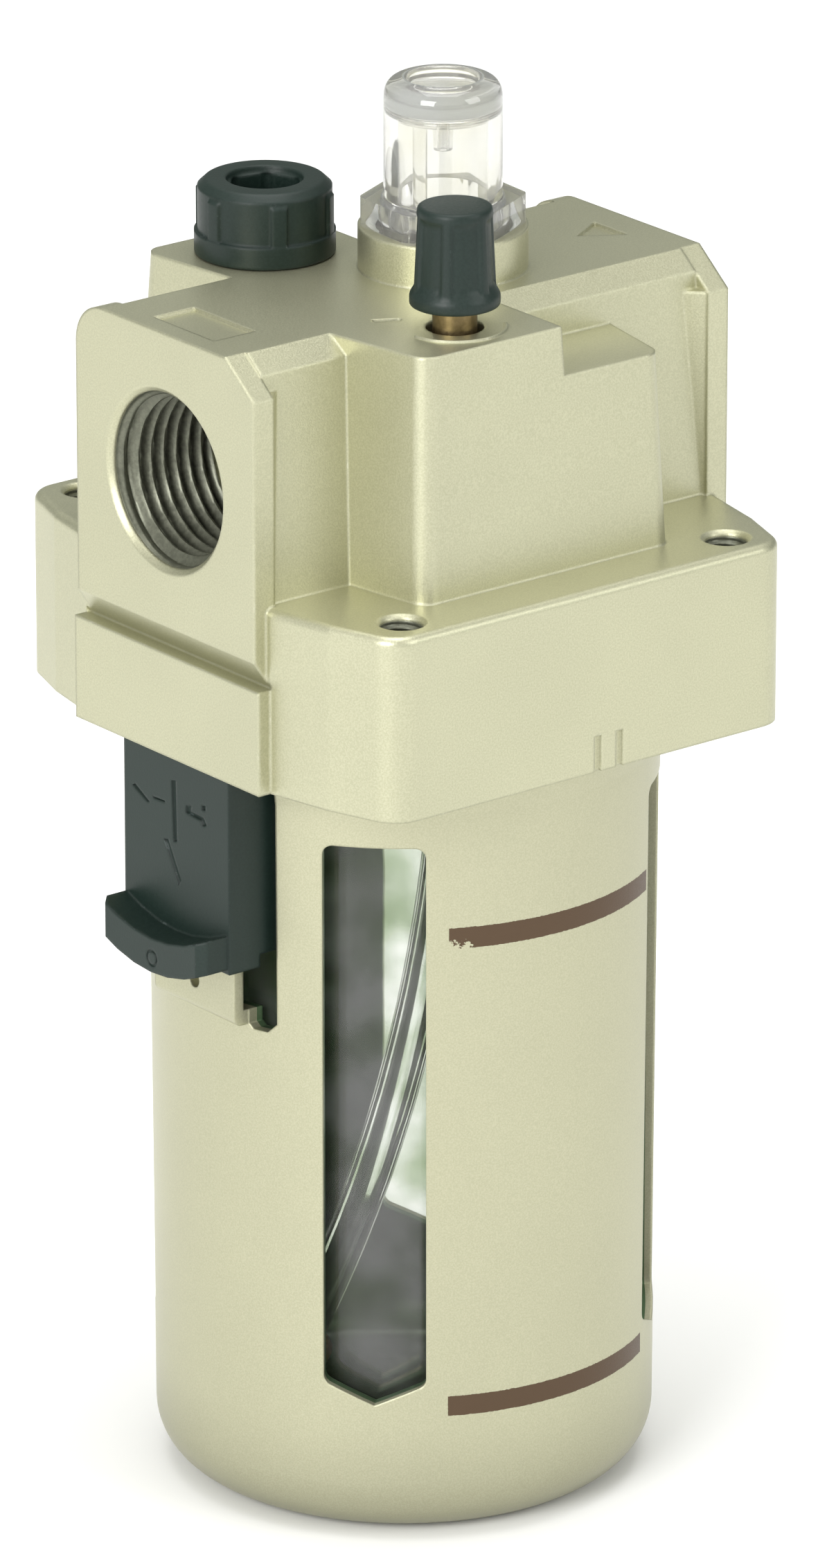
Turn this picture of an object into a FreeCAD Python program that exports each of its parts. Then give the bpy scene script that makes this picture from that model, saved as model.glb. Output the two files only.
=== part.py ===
"""Air line lubricator: a cast body with a sight dome, an oil needle valve, a fill plug
and a guarded bowl. Millimetres. The origin is the centre of the bowl's flat base,
+X runs from the inlet port to the outlet port and +Z points up."""

import FreeCAD, Part
import Sketcher
import math
import os
import re

Vector = FreeCAD.Vector
Rotation = FreeCAD.Rotation
Placement = FreeCAD.Placement

# Sizes: alias, value or what it follows from, meaning
SIZES = [
    ("port_span", 70.0, "port face to port face along X"),
    ("port_height", 129.3, "port axis above the base"),
    ("port_radius", 10.48, "wall of the G1/2 port thread, at its root"),
    ("port_depth", 16.0, "depth of the port thread"),
    ("port_chamfer", 0.6, "mouth chamfer of the ports"),
    ("passage_radius", 8.0, "air passage between the ports"),
    ("top_rise", 17.85, "top face above the port axis"),
    ("rim_half_width", 16.8, "half width of a port flange"),
    ("rim_thick", 3.0, "thickness of a port flange along X"),
    ("rim_chamfer_wide", 5.3, "front top chamfer across"),
    ("rim_chamfer_tall", 4.2, "front top chamfer down"),
    ("rim_round", 5.0, "rear top edge rounding of the port flanges"),
    ("rim_bevel", 2.2, "bevel between port flange and neck"),
    ("neck_half_top", 14.4, "half width of the neck at its chamfer"),
    ("neck_half_foot", 16.2, "half width of the neck at the flange"),
    ("groove_deep", 2.2, "depth of the groove under a port flange"),
    ("groove_top_drop", 17.6, "port axis down to the groove's upper edge"),
    ("groove_low_drop", 21.0, "port axis down to the groove's ledge"),
    ("block_half_width", 17.5, "half width of the lower block"),
    ("flange_drop", 11.3, "port axis down to the flange top"),
    ("skirt_drop", 33.6, "port axis down to the underside"),
    ("flange_half_depth", 35.0, "half depth of the flange along Y"),
    ("tower_inset", 7.3, "flange front back to the tower's foot"),
    ("lobe_inset", 7.0, "flange rear back to the rear lobe's foot"),
    ("needle_inset", 16.2, "flange front back to the needle valve axis"),
    ("plug_inset", 17.3, "flange rear back to the fill plug axis"),
    ("bolt_inset", 5.0, "flange front or rear back to a screw hole"),
    ("waist_inset", 9.0, "flange front or rear back to the waist"),
    ("mouth_wall", 6.0, "flange front back to the bowl's bore"),
    ("lug_groove_deep", 2.2, "depth of the lug groove in the bore"),
    ("guard_step", 1.2, "guard radius beyond the bowl's bore"),
    ("guard_draw", 0.5, "guard radius lost from top to base"),
    ("bowl_wall_in", 2.2, "bowl's bore back to the inner bowl"),
    ("inner_rim_out", 1.7, "reach of the inner bowl's rim"),
    ("inner_neck_in", 0.9, "depth of the inner bowl's neck"),
    ("window_drop", 8.3, "body underside down to a guard window"),
    ("latch_tall", 23.9, "body underside down to the latch's ends"),
    ("boss_foot_drop", 32.3, "body underside down to the boss foot"),
    ("boss_head_drop", 2.7, "body underside down to the boss head"),
    ("slot_foot", 0.5, "boss foot down to the slots' lower end"),
    ("spring_above_latch", 0.6, "latch's ends up to its spring"),
    ("latch_stand", 4.65, "latch face beyond the bowl's bore"),
    ("nose_stand", 2.9, "nose's inner face beyond the bowl's bore"),
    ("nose_thick", 1.3, "thickness of the latch's nose"),
    ("boss_stand", 2.2, "boss face beyond the bowl's bore"),
    ("flange_half_front", 28.6, "half width of the flange at its front edge"),
    ("flange_half_waist", 31.6, "half width of the flange two thirds out"),
    ("flange_half_width", 33.3, "half width of the flange beside the block"),
    ("flange_waist_at", "=flange_half_depth - waist_inset", "Y of the flange's waist points"),
    ("flange_corner", 4.0, "corner rounding of the flange"),
    ("flange_edge", 1.0, "edge rounding on top of the flange"),
    ("tower_front_foot", "=flange_half_depth - tower_inset", "front face of the tower at its foot"),
    ("tower_draft", 2.6, "draft of the tower faces in degrees"),
    ("tower_left_foot", 18.8, "front left corner of the tower at its foot"),
    ("tower_left_root", 22.0, "left side of the tower at the neck"),
    ("tower_right_foot", 17.6, "front right corner of the tower at its foot"),
    ("tower_right_root", 21.2, "right side of the tower at the neck"),
    ("tower_step_x", 3.6, "right side of the tall part at its foot"),
    ("tower_root_y", 9.0, "Y inside the neck where the tower starts"),
    ("tower_corner", 2.2, "rounding of the tower's upright edges"),
    ("shelf_drop", 5.9, "top face down to the shelf"),
    ("rear_foot", "=flange_half_depth - lobe_inset", "rear face of the rear lobe at its foot"),
    ("rear_left_foot", 19.6, "rear left corner of the rear lobe"),
    ("rear_left_root", 17.2, "left side of the rear lobe at the neck"),
    ("rear_step_x", 6.0, "right side of the rear lobe's tall part"),
    ("collar_radius", 9.95, "cast collar under the sight dome"),
    ("collar_tall", 5.1, "height of the cast collar"),
    ("dome_x", 6.1, "sight dome axis, X"),
    ("dome_y", 0.4, "sight dome axis, Y"),
    ("dome_radius", 6.95, "outer radius of the sight dome"),
    ("dome_wall", 1.7, "wall of the sight dome"),
    ("dome_tall", 14.3, "dome height above its hexagon"),
    ("dome_crown", 2.3, "rounding of the dome's crown"),
    ("dome_dish", 4.4, "radius of the dish on the dome"),
    ("dome_dish_deep", 0.8, "depth of the dish on the dome"),
    ("dome_throat", 3.85, "bore of the dome's shank"),
    ("dome_roof", 3.8, "thickness of the dome's roof"),
    ("dome_hex_flats", 17.0, "hexagon across flats"),
    ("dome_hex_tall", 3.5, "hexagon height"),
    ("dome_hex_turn", -34.0, "turn of the hexagon about its axis in degrees"),
    ("dome_thread", 5.6, "radius of the dome's threaded shank"),
    ("dome_shank", 9.0, "length of the dome's threaded shank"),
    ("seal_seat", 1.7, "width and depth of the seal seats"),
    ("dome_seal_wire", 0.78, "section radius of the dome seal"),
    ("plug_seal_wire", 0.82, "section radius of the plug seal"),
    ("nozzle_bore", 0.45, "bore of the drip nozzle"),
    ("nozzle_tip", 1.1, "radius of the drip nozzle's tip"),
    ("nozzle_long", 4.8, "drip nozzle below the dome's roof"),
    ("insert_thick", 0.9, "thickness of the insert's disc"),
    ("riser_x", -2.3, "riser from the dome axis, X"),
    ("riser_y", 1.4, "riser from the dome axis, Y"),
    ("riser_radius", 0.85, "radius of the riser"),
    ("drip_hole", 3.0, "radius of the drip hole into the passage"),
    ("needle_x", -7.4, "needle valve axis, X"),
    ("needle_y", "=needle_inset - flange_half_depth", "needle valve axis, Y"),
    ("needle_bore", 3.4, "upper bore of the needle valve"),
    ("needle_bore_deep", 15.0, "depth of the upper bore"),
    ("needle_low_bore", 2.1, "lower bore of the needle valve"),
    ("needle_low_deep", 25.0, "depth of the lower bore"),
    ("needle_lift", 1.5, "travel of the needle"),
    ("oil_channel", 1.0, "radius of the oil channel"),
    ("stem_neck", 1.6, "radius of the stem inside its seal"),
    ("stem_seal_drop", 12.0, "top face down to the needle's seal"),
    ("stem_in_knob", 8.4, "length of the stem inside the knob"),
    ("gland_top", 3.4, "top face down to the gland"),
    ("gland_low", 8.6, "top face down to the gland's lower end"),
    ("stem_radius", 2.6, "radius of the needle stem"),
    ("valve_arc", 5.7, "inner radius of the raised arc round the needle valve"),
    ("valve_arc_wide", 0.4, "width of the raised arc"),
    ("valve_arc_tall", 0.25, "height of the raised arc"),
    ("valve_arc_start", -28.0, "heading of the raised arc's right end in degrees"),
    ("valve_arc_span", 150.0, "span of the raised arc in degrees"),
    ("running_gap", 0.06, "radial clearance of screwed and sliding fits"),
    ("knob_clear", 2.8, "gap between top face and knob"),
    ("knob_tall", 11.8, "height of the knob"),
    ("knob_top_radius", 4.35, "radius of the knob's top"),
    ("knob_body_radius", 4.85, "radius of the knob above its lip"),
    ("knob_lip_radius", 5.25, "radius of the knob's lip"),
    ("knob_lip_tall", 2.3, "height of the knob's lip"),
    ("knob_rib_half", 0.5, "half width of a rib between the knob's panels"),
    ("knob_panel", 4.2, "knob axis to a panel at its foot"),
    ("knob_panel_lean", 1.5, "lean of the knob's panels in degrees"),
    ("knob_turn", 9.2, "turn of the knob's first panel in degrees"),
    ("knob_round", 0.6, "edge rounding of the knob's crown"),
    ("plug_x", -6.7, "fill plug axis, X"),
    ("plug_y", "=flange_half_depth - plug_inset", "fill plug axis, Y"),
    ("plug_radius", 8.3, "radius of the fill plug's base ring"),
    ("plug_ring_tall", 2.7, "height of the base ring"),
    ("plug_grip_radius", 7.95, "radius of the fill plug's grip"),
    ("plug_rib_radius", 8.2, "radius over the fill plug's ribs"),
    ("plug_rib_half", 1.0, "half width of a fill plug rib"),
    ("plug_rib_drop", 0.9, "top of the fill plug down to its ribs"),
    ("plug_turn", 4.5, "turn of the fill plug's first rib in degrees"),
    ("plug_lead", 4.75, "radius of the socket's lead-in"),
    ("plug_lead_deep", 0.7, "depth of the socket's lead-in"),
    ("plug_tall", 8.9, "height of the fill plug"),
    ("plug_round", 0.8, "bevel of the fill plug's top edge"),
    ("plug_socket_flats", 8.0, "hexagon socket across flats"),
    ("plug_socket_deep", 5.5, "depth of the hexagon socket"),
    ("plug_thread", 6.5, "wall of the fill plug thread"),
    ("plug_thread_deep", 14.0, "depth of the fill plug thread"),
    ("plug_shank", 8.6, "length of the fill plug's shank"),
    ("fill_hole", 4.5, "radius of the fill hole into the bowl"),
    ("seat_gap", 0.1, "gap between a moving seat and its face"),
    ("mouth_radius", "=flange_half_depth - mouth_wall", "bore for the bowl"),
    ("lug_groove_radius", "=mouth_radius + lug_groove_deep", "groove for the bayonet lugs"),
    ("ledge_tall", 3.9, "height of the bayonet ledge"),
    ("lug_groove_tall", 4.8, "height of the lug groove"),
    ("cavity_tall", 18.3, "underside up to the cavity's ceiling"),
    ("fit_gap", 0.3, "clearance between body and bowl"),
    ("lug_width", 13.0, "width of a bayonet lug"),
    ("guard_top_radius", "=mouth_radius + guard_step", "guard radius at its top"),
    ("guard_low_radius", "=guard_top_radius - guard_draw", "guard radius above its base rounding"),
    ("guard_wall", 2.0, "wall of the bowl guard"),
    ("guard_flare", 0.35, "flare of the guard under the body"),
    ("guard_round", 7.0, "base rounding of the guard"),
    ("guard_floor", 2.2, "thickness of the guard's floor"),
    ("window_width", 12.1, "width of a guard window"),
    ("window_top", "=port_height - skirt_drop - window_drop", "top of a guard window"),
    ("window_low", 20.0, "lower corners of a guard window"),
    ("window_point", 17.4, "lowest point of a guard window"),
    ("window_round", 1.3, "corner rounding of a guard window"),
    ("inner_radius", "=mouth_radius - bowl_wall_in", "outer radius of the inner bowl"),
    ("inner_wall", 2.6, "wall of the inner bowl"),
    ("inner_round", 9.0, "base rounding of the inner bowl"),
    ("inner_rim_radius", "=inner_radius + inner_rim_out", "radius of the inner bowl's rim"),
    ("inner_rim_tall", 2.2, "height of the inner bowl's rim"),
    ("inner_neck_radius", "=inner_radius - inner_neck_in", "neck inside the bowl seal"),
    ("bowl_seal_wire", 1.5, "section radius of the bowl seal"),
    ("latch_face", "=mouth_radius + latch_stand", "outer face of the latch from the axis"),
    ("latch_thick", 2.1, "thickness of the latch plate"),
    ("latch_half_width", 10.0, "half width of the latch"),
    ("latch_leg", 2.1, "thickness of a latch leg"),
    ("latch_leg_in", 7.4, "reach of a latch leg in from the face"),
    ("latch_foot_in", 4.5, "reach of a leg's low foot in from the face"),
    ("latch_foot_step", 1.6, "step up behind a leg's low foot"),
    ("latch_foot_low", 0.6, "drop of a leg's low foot under the lip's ends"),
    ("latch_low", "=port_height - skirt_drop - latch_tall", "underside of the latch"),
    ("latch_lip_out", 3.95, "reach of the thumb lip"),
    ("latch_lip_tall", 4.2, "height of the thumb lip"),
    ("latch_lip_sag", 2.2, "sag of the thumb lip in the middle"),
    ("latch_lip_half", 9.7, "half width of the thumb lip"),
    ("latch_lip_bevel", 1.0, "bevel of the thumb lip's ends"),
    ("latch_lip_ring", 1.05, "radius of the ring mark on the thumb lip"),
    ("engraving", 0.3, "depth of the marks on the latch"),
    ("latch_travel", 4.0, "travel of the latch"),
    ("latch_nose_half", 3.5, "half width of the latch's nose"),
    ("latch_nose_tall", 3.2, "height of the nose above the plate"),
    ("latch_nose_in", "=mouth_radius + nose_stand", "inner face of the nose from the axis"),
    ("latch_nose_out", "=latch_nose_in + nose_thick", "outer face of the nose from the axis"),
    ("bowl_turn", 45.0, "turn of the bowl in degrees"),
    ("boss_face", "=mouth_radius + boss_stand", "face of the guard's latch boss"),
    ("boss_half_width", 7.6, "half width of the latch boss"),
    ("boss_round", 1.1, "rounding of the boss's foot"),
    ("boss_wall", 1.4, "wall of the boss beside the slots"),
    ("boss_web_half", 2.6, "half width of the solid web behind the boss"),
    ("boss_hole", 0.95, "radius of the small hole in the boss"),
    ("boss_hole_up", 3.75, "boss foot up to the small hole"),
    ("boss_low", "=port_height - skirt_drop - boss_foot_drop", "lower edge of the latch boss"),
    ("boss_top", "=port_height - skirt_drop - boss_head_drop", "upper edge of the latch boss"),
    ("slot_out", 11.4, "outer edge of the latch slots"),
    ("slot_gap", 0.05, "boss side to slot"),
    ("slot_low", "=boss_low - slot_foot", "lower end of the latch slots"),
    ("spring_radius", 1.1, "coil radius of the latch spring"),
    ("spring_wire", 0.25, "wire radius of the latch spring"),
    ("spring_low", "=latch_low + spring_above_latch", "lower end of the latch spring"),
    ("spring_tall", 12.0, "length of the latch spring"),
    ("spring_turns", 8.0, "turns of the latch spring"),
    ("bolt_span_x", 48.0, "screw holes apart along X"),
    ("bolt_span_y", "=2 * (flange_half_depth - bolt_inset)", "screw holes apart along Y"),
    ("bolt_radius", 2.5, "radius of a screw hole"),
    ("bolt_deep", 12.0, "depth of a screw hole"),
    ("bolt_sink", 0.45, "countersink of a screw hole"),
    ("mark_deep", 0.4, "depth of the cast marks"),
    ("tube_radius", 2.5, "outer radius of the siphon tube"),
    ("tube_bore", 1.5, "bore of the siphon tube"),
    ("tube_reach", 22.6, "sideways reach of the siphon tube"),
    ("tube_heading", 106.7, "heading of the siphon tube's bend in degrees"),
    ("tube_foot", 16.0, "lower end of the siphon tube"),
    ("adapter_tall", 8.0, "length of the siphon adapter below the ceiling"),
    ("adapter_radius", 4.6, "radius of the siphon adapter's head"),
    ("adapter_sleeve", 3.5, "radius of the siphon adapter's sleeve"),
    ("tube_socket", 2.0, "length of the siphon tube inside the adapter"),
    ("ball_radius", 1.55, "radius of the check ball"),
    ("ball_drop", 3.2, "check ball below the ceiling"),
    ("snug_gap", 0.02, "radial clearance of parts that stay together"),
    ("filter_radius", 4.2, "radius of the siphon filter"),
    ("filter_tall", 9.0, "length of the siphon filter"),
    ("filter_socket", 1.6, "depth of the tube's socket in the filter"),
    ("filter_bevel", 0.8, "bevel of the filter's ends"),
    ("holder_wall", 1.5, "wall of the damper holder"),
    ("holder_long", 11.0, "length of the damper holder"),
    ("damper_thick", 0.9, "thickness of the flow damper"),
    ("damper_hole", 1.5, "radius of a hole in the flow damper"),
    ("damper_hole_ring", 4.3, "holes of the flow damper from its centre"),
]

# Engraved lines on the latch: corners as (Y, drop from the body's underside)
FACE_MARKS = [
    [(8.5, 6.2), (7.9, 5.9), (5.1, 7.4), (5.6, 7.5)],
    [(4.6, 6.5), (4.4, 6.7), (2.2, 6.6), (2.2, 6.4)],
    [(0.9, 3.5), (0.1, 3.3), (-0.1, 10.8), (0.6, 11.0)],
    [(2.4, 11.2), (1.6, 11.0), (-0.8, 15.4), (-0.3, 16.2)],
    [(-1.9, 5.8), (-2.9, 5.6), (-2.8, 6.3), (-5.2, 6.4), (-5.8, 7.2), (-5.0, 7.5), (-4.6, 6.9), (-1.8, 6.7)],
    [(-4.9, 5.0), (-5.6, 4.8), (-5.6, 5.4), (-4.9, 5.5)],
]

doc = FreeCAD.newDocument("air_line_lubricator")
sheet = doc.addObject("Spreadsheet::Sheet", "Sizes")
for row, (alias, amount, meaning) in enumerate(SIZES, start=1):
    sheet.set(f"A{row}", alias)
    sheet.set(f"C{row}", meaning)
    sheet.setAlias(f"B{row}", alias)
for row, (alias, amount, meaning) in enumerate(SIZES, start=1):
    sheet.set(f"B{row}", str(amount))
doc.recompute()
ALIASES = {alias for alias, amount, meaning in SIZES}


def val(expression):
    """The present value of an expression of cell names."""
    return float(sheet.evalExpression(expression))


def bound(expression):
    """The same expression with every cell name led by the sheet's name."""
    return re.sub(r"[a-z_]+", lambda m: "Sizes." + m.group() if m.group() in ALIASES else m.group(), expression)


# Levels above the base, as expressions of the cells
TOP = "(port_height + top_rise)"
SHELF = "(port_height + top_rise - shelf_drop)"
FLANGE = "(port_height - flange_drop)"
SKIRT = "(port_height - skirt_drop)"
LEDGE = "(port_height - skirt_drop + ledge_tall)"
LUG_ROOF = "(port_height - skirt_drop + ledge_tall + lug_groove_tall)"
CEILING = "(port_height - skirt_drop + cavity_tall)"
COLLAR = "(port_height + top_rise + collar_tall)"


def new_body(name, x="0", y="0", z="0"):
    """A body whose own origin stands at the given place."""
    body = doc.addObject("PartDesign::Body", name)
    body.Label = name
    body.Placement = Placement(Vector(val(x), val(y), val(z)), Rotation())
    for axis, expression in (("x", x), ("y", y), ("z", z)):
        if expression != "0":
            body.setExpression(f"Placement.Base.{axis}", bound(expression))
    return body


def sketch(body, role, name, lift="0"):
    """A sketch on one of the body's origin planes, lifted along the plane's normal."""
    plane = next(item for item in body.Origin.OriginFeatures if item.Role == role)
    drawing = body.newObject("Sketcher::SketchObject", name)
    drawing.AttachmentSupport = [(plane, "")]
    drawing.MapMode = "FlatFace"
    drawing.AttachmentOffset = Placement(Vector(0, 0, val(lift)), Rotation())
    if lift != "0":
        drawing.setExpression("AttachmentOffset.Base.z", bound(lift))
    return drawing


def turn_sketch(drawing, angle, axis=Vector(0, 0, 1)):
    """Turn an attached sketch about an axis of its own plane by an expression in degrees."""
    offset = drawing.AttachmentOffset
    drawing.AttachmentOffset = Placement(offset.Base, Rotation(axis, val(angle)))
    drawing.setExpression("AttachmentOffset.Rotation.Angle", bound(angle))


def pin(drawing, geometry, position, x, y):
    """Fix a point of the sketch at two expressions measured from its origin."""
    for kind, axis, expression in (("DistanceX", -2, x), ("DistanceY", -1, y)):
        amount = val(expression)
        if abs(amount) < 1e-9:
            drawing.addConstraint(Sketcher.Constraint("PointOnObject", geometry, position, axis))
            continue
        index = drawing.addConstraint(Sketcher.Constraint(kind, -1, 1, geometry, position, amount))
        drawing.setExpression(f"Constraints[{index}]", bound(expression))


def polygon(drawing, points):
    """A closed outline of straight lines through points given as expressions."""
    corners = [Vector(val(x), val(y), 0) for x, y in points]
    first = drawing.GeometryCount
    count = len(corners)
    for index in range(count):
        line = Part.LineSegment(corners[index], corners[(index + 1) % count])
        drawing.addGeometry(line, False)
    for index in range(count):
        joint = Sketcher.Constraint("Coincident", first + index, 2, first + (index + 1) % count, 1)
        drawing.addConstraint(joint)
    for index, (x, y) in enumerate(points):
        pin(drawing, first + index, 1, x, y)


def circle(drawing, x, y, radius):
    """A circle about a point, all given as expressions."""
    index = drawing.GeometryCount
    drawing.addGeometry(Part.Circle(Vector(val(x), val(y), 0), Vector(0, 0, 1), val(radius)), False)
    pin(drawing, index, 3, x, y)
    datum = drawing.addConstraint(Sketcher.Constraint("Radius", index, val(radius)))
    drawing.setExpression(f"Constraints[{datum}]", bound(radius))


def extrude(body, kind, name, drawing, length, flip=False, both=False, draft=None):
    """Pad or pocket a sketch by a length given as an expression."""
    feature = body.newObject(f"PartDesign::{kind}", name)
    feature.Profile = drawing
    feature.Length = val(length)
    feature.setExpression("Length", bound(length))
    feature.Reversed = flip
    if both:
        feature.SideType = "Symmetric"
    if draft is not None:
        feature.TaperAngle = val(draft)
        feature.setExpression("TaperAngle", bound(draft))
    return feature


def revolve(body, kind, name, drawing):
    """Turn a sketch once about its own upright axis, as a solid or a groove."""
    feature = body.newObject(f"PartDesign::{kind}", name)
    feature.Profile = drawing
    feature.ReferenceAxis = (drawing, ["V_Axis"])
    feature.Angle = 360
    return feature


def turned(name, points, x="0", y="0", z="0"):
    """A body turned from one outline of (radius, height) expressions."""
    body = new_body(name, x, y, z)
    drawing = sketch(body, "XZ_Plane", f"{name}_profile")
    polygon(drawing, points)
    revolve(body, "Revolution", f"{name}_turned", drawing)
    return body


def bore(body, name, x, y, top, radius, deep):
    """A round hole sunk straight down from a level."""
    drawing = sketch(body, "XY_Plane", f"{name}_mouth", top)
    circle(drawing, x, y, radius)
    return extrude(body, "Pocket", name, drawing, deep)


def polar(body, name, original, count):
    """Repeat one feature evenly about the body's upright axis."""
    axis = next(item for item in body.Origin.OriginFeatures if item.Role == "Z_Axis")
    pattern = body.newObject("PartDesign::PolarPattern", name)
    pattern.Originals = [original]
    pattern.Axis = (axis, [""])
    pattern.Angle = 360
    pattern.Occurrences = count
    body.Tip = pattern
    return pattern


def recompute_all():
    """Work the document out again and stop at the first object that failed."""
    doc.recompute()
    for item in doc.Objects:
        if "Invalid" in item.State or "Error" in item.State:
            raise RuntimeError(f"{item.Name} did not recompute: {item.getStatusString()}")


def edges_where(feature, test):
    """Names of the feature's edges whose middle point and edge pass a test."""
    recompute_all()
    names = []
    for index, edge in enumerate(feature.Shape.Edges, start=1):
        middle = edge.valueAt((edge.FirstParameter + edge.LastParameter) / 2)
        if test(edge, middle):
            names.append(f"Edge{index}")
    return names


def dress(body, kind, name, feature, size, test):
    """Round or bevel the edges that pass a test by a size given as an expression."""
    names = edges_where(feature, test)
    if not names:
        raise ValueError(f"{name}: no edge was found")
    result = body.newObject(f"PartDesign::{kind}", name)
    result.Base = (feature, names)
    field = "Radius" if kind == "Fillet" else "Size"
    setattr(result, field, val(size))
    result.setExpression(field, bound(size))
    return result


def upright(edge):
    """True for a straight edge that stands along Z or leans only by the cast draft."""
    ends = (edge.FirstParameter, edge.LastParameter)
    return all(abs(edge.tangentAt(end).z) > 0.98 for end in ends)


def level(edge, z):
    """True for an edge that lies wholly at one height."""
    return all(abs(vertex.Point.z - z) < 1e-4 for vertex in edge.Vertexes)


def cast_body():
    """The die-cast body: ports, neck, tower, flange, bayonet bore and valve bores."""
    body = new_body("body")
    half = "(port_span / 2)"

    # Neck between the port flanges, wider towards its foot
    profile = sketch(body, "YZ_Plane", "neck_profile")
    polygon(profile, [
        ("-neck_half_foot", FLANGE + " - 1"),
        ("neck_half_foot", FLANGE + " - 1"),
        ("neck_half_top", TOP + " - rim_chamfer_tall / 2"),
        ("neck_half_top - rim_chamfer_wide / 2", TOP),
        ("-(rim_half_width - rim_chamfer_wide + 0.3)", TOP),
        ("-neck_half_top", TOP + " - rim_chamfer_tall / 2"),
    ])
    extrude(body, "Pad", "neck", profile, "port_span - 2 * rim_thick", both=True)

    # Port flanges with a front chamfer and a rounded rear edge
    for side, lift in (("inlet", "-port_span / 2"), ("outlet", "port_span / 2 - rim_thick")):
        profile = sketch(body, "YZ_Plane", f"{side}_flange_profile", lift)
        polygon(profile, [
            ("-rim_half_width", "port_height - groove_low_drop"),
            ("rim_half_width", "port_height - groove_low_drop"),
            ("rim_half_width", TOP),
            ("-(rim_half_width - rim_chamfer_wide)", TOP),
            ("-rim_half_width", TOP + " - rim_chamfer_tall"),
        ])
        pad = extrude(body, "Pad", f"{side}_flange", profile, "rim_thick")
        roof, back = val(TOP), val("rim_half_width")
        dress(body, "Fillet", f"{side}_flange_round", pad, "rim_round",
              lambda edge, p: level(edge, roof) and abs(p.y - back) < 1e-3)

    # Bevelled ends of the side recesses
    for side in (-1, 1):
        profile = sketch(body, "XY_Plane", f"recess_end_{'rear' if side > 0 else 'front'}", FLANGE + " - 1")
        for end in (-1, 1):
            polygon(profile, [
                (f"{end} * (port_span / 2 - rim_thick / 2)", f"{side} * (rim_half_width - 0.3)"),
                (f"{end} * (port_span / 2 - rim_thick)", f"{side} * (rim_half_width - 0.3)"),
                (f"{end} * (port_span / 2 - rim_thick - rim_bevel)", f"{side} * neck_half_top"),
                (f"{end} * (port_span / 2 - rim_thick / 2)", f"{side} * neck_half_top"),
            ])
        extrude(body, "Pad", f"recess_ends_{'rear' if side > 0 else 'front'}", profile,
                "flange_drop + 1 + top_rise - rim_chamfer_tall")

    # Flange that carries the four screw holes and the bowl
    outline = sketch(body, "XY_Plane", "flange_outline", SKIRT)
    right = [("flange_half_front", "flange_half_depth"), ("flange_half_waist", "flange_waist_at"),
             ("flange_half_width", "block_half_width")]
    points = [(x, f"-({y})") for x, y in right] + [(x, y) for x, y in reversed(right)]
    points += [(f"-({x})", y) for x, y in right] + [(f"-({x})", f"-({y})") for x, y in reversed(right)]
    polygon(outline, points)
    flange = extrude(body, "Pad", "flange", outline, "skirt_drop - flange_drop")
    depth, front = val("flange_half_depth"), val("flange_half_front")
    rounded = dress(body, "Fillet", "flange_corners", flange, "flange_corner",
                    lambda edge, p: upright(edge) and abs(abs(p.y) - depth) < 0.01 and abs(abs(p.x) - front) < 0.01)
    top, block = val(FLANGE), val("block_half_width")
    rounded = dress(body, "Fillet", "flange_top_edge", rounded, "flange_edge",
                    lambda edge, p: level(edge, top) and abs(p.y) > block + 0.1 and
                    (abs(p.y) > depth - 5 or abs(p.x) > front))

    # Lower blocks under the ports, with a sharp groove between block and flange
    outline = sketch(body, "XY_Plane", "block_outline", SKIRT)
    polygon(outline, [(f"-{half}", "-block_half_width"), (half, "-block_half_width"),
                      (half, "block_half_width"), (f"-{half}", "block_half_width")])
    extrude(body, "Pad", "blocks", outline, "skirt_drop - groove_low_drop")
    profile = sketch(body, "XZ_Plane", "groove_profile")
    for end in (-1, 1):
        polygon(profile, [
            (f"{end} * (port_span / 2 + 1)", "port_height - groove_low_drop"),
            (f"{end} * (port_span / 2 - groove_deep)", "port_height - groove_low_drop"),
            (f"{end} * {half}", "port_height - groove_top_drop"),
            (f"{end} * (port_span / 2 + 1)", "port_height - groove_top_drop"),
        ])
    extrude(body, "Pocket", "grooves", profile, "2 * block_half_width", both=True)

    # Tower in front and lobe behind: a low shelf each, then the tall part
    for name, outer, near, far in (
            ("tower", "-tower_front_foot", ("-tower_left_foot", "-tower_left_root"),
             ("tower_right_foot", "tower_right_root")),
            ("lobe", "rear_foot", ("-rear_left_foot", "-rear_left_root"),
             ("tower_right_foot", "tower_right_root"))):
        sign = "-" if name == "tower" else ""
        step = "tower_step_x" if name == "tower" else "rear_step_x"
        for part, right_foot, right_root, tall in (
                ("shelf", far[0], far[1], "flange_drop + top_rise - shelf_drop + 1"),
                ("tall", step, step, "flange_drop + top_rise + 1")):
            outline = sketch(body, "XY_Plane", f"{name}_{part}_outline", FLANGE + " - 1")
            polygon(outline, [(near[0], outer), (right_foot, outer), (right_root, f"{sign}tower_root_y"),
                              (near[1], f"{sign}tower_root_y")])
            pad = extrude(body, "Pad", f"{name}_{part}", outline, tall, draft="-tower_draft")
        outer_y = val(outer)
        step_x = val(step)
        dress(body, "Fillet", f"{name}_corners", pad, "tower_corner",
              lambda edge, p, outer_y=outer_y, step_x=step_x: upright(edge) and p.z > top
              and abs(p.y - outer_y) < 1.9 and abs(p.x - step_x) > 3 and edge.Length > 3)

    # Cast collar that carries the sight dome
    outline = sketch(body, "XY_Plane", "collar_outline", TOP + " - 1")
    circle(outline, "dome_x", "dome_y", "collar_radius")
    extrude(body, "Pad", "collar", outline, "collar_tall + 1")

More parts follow.
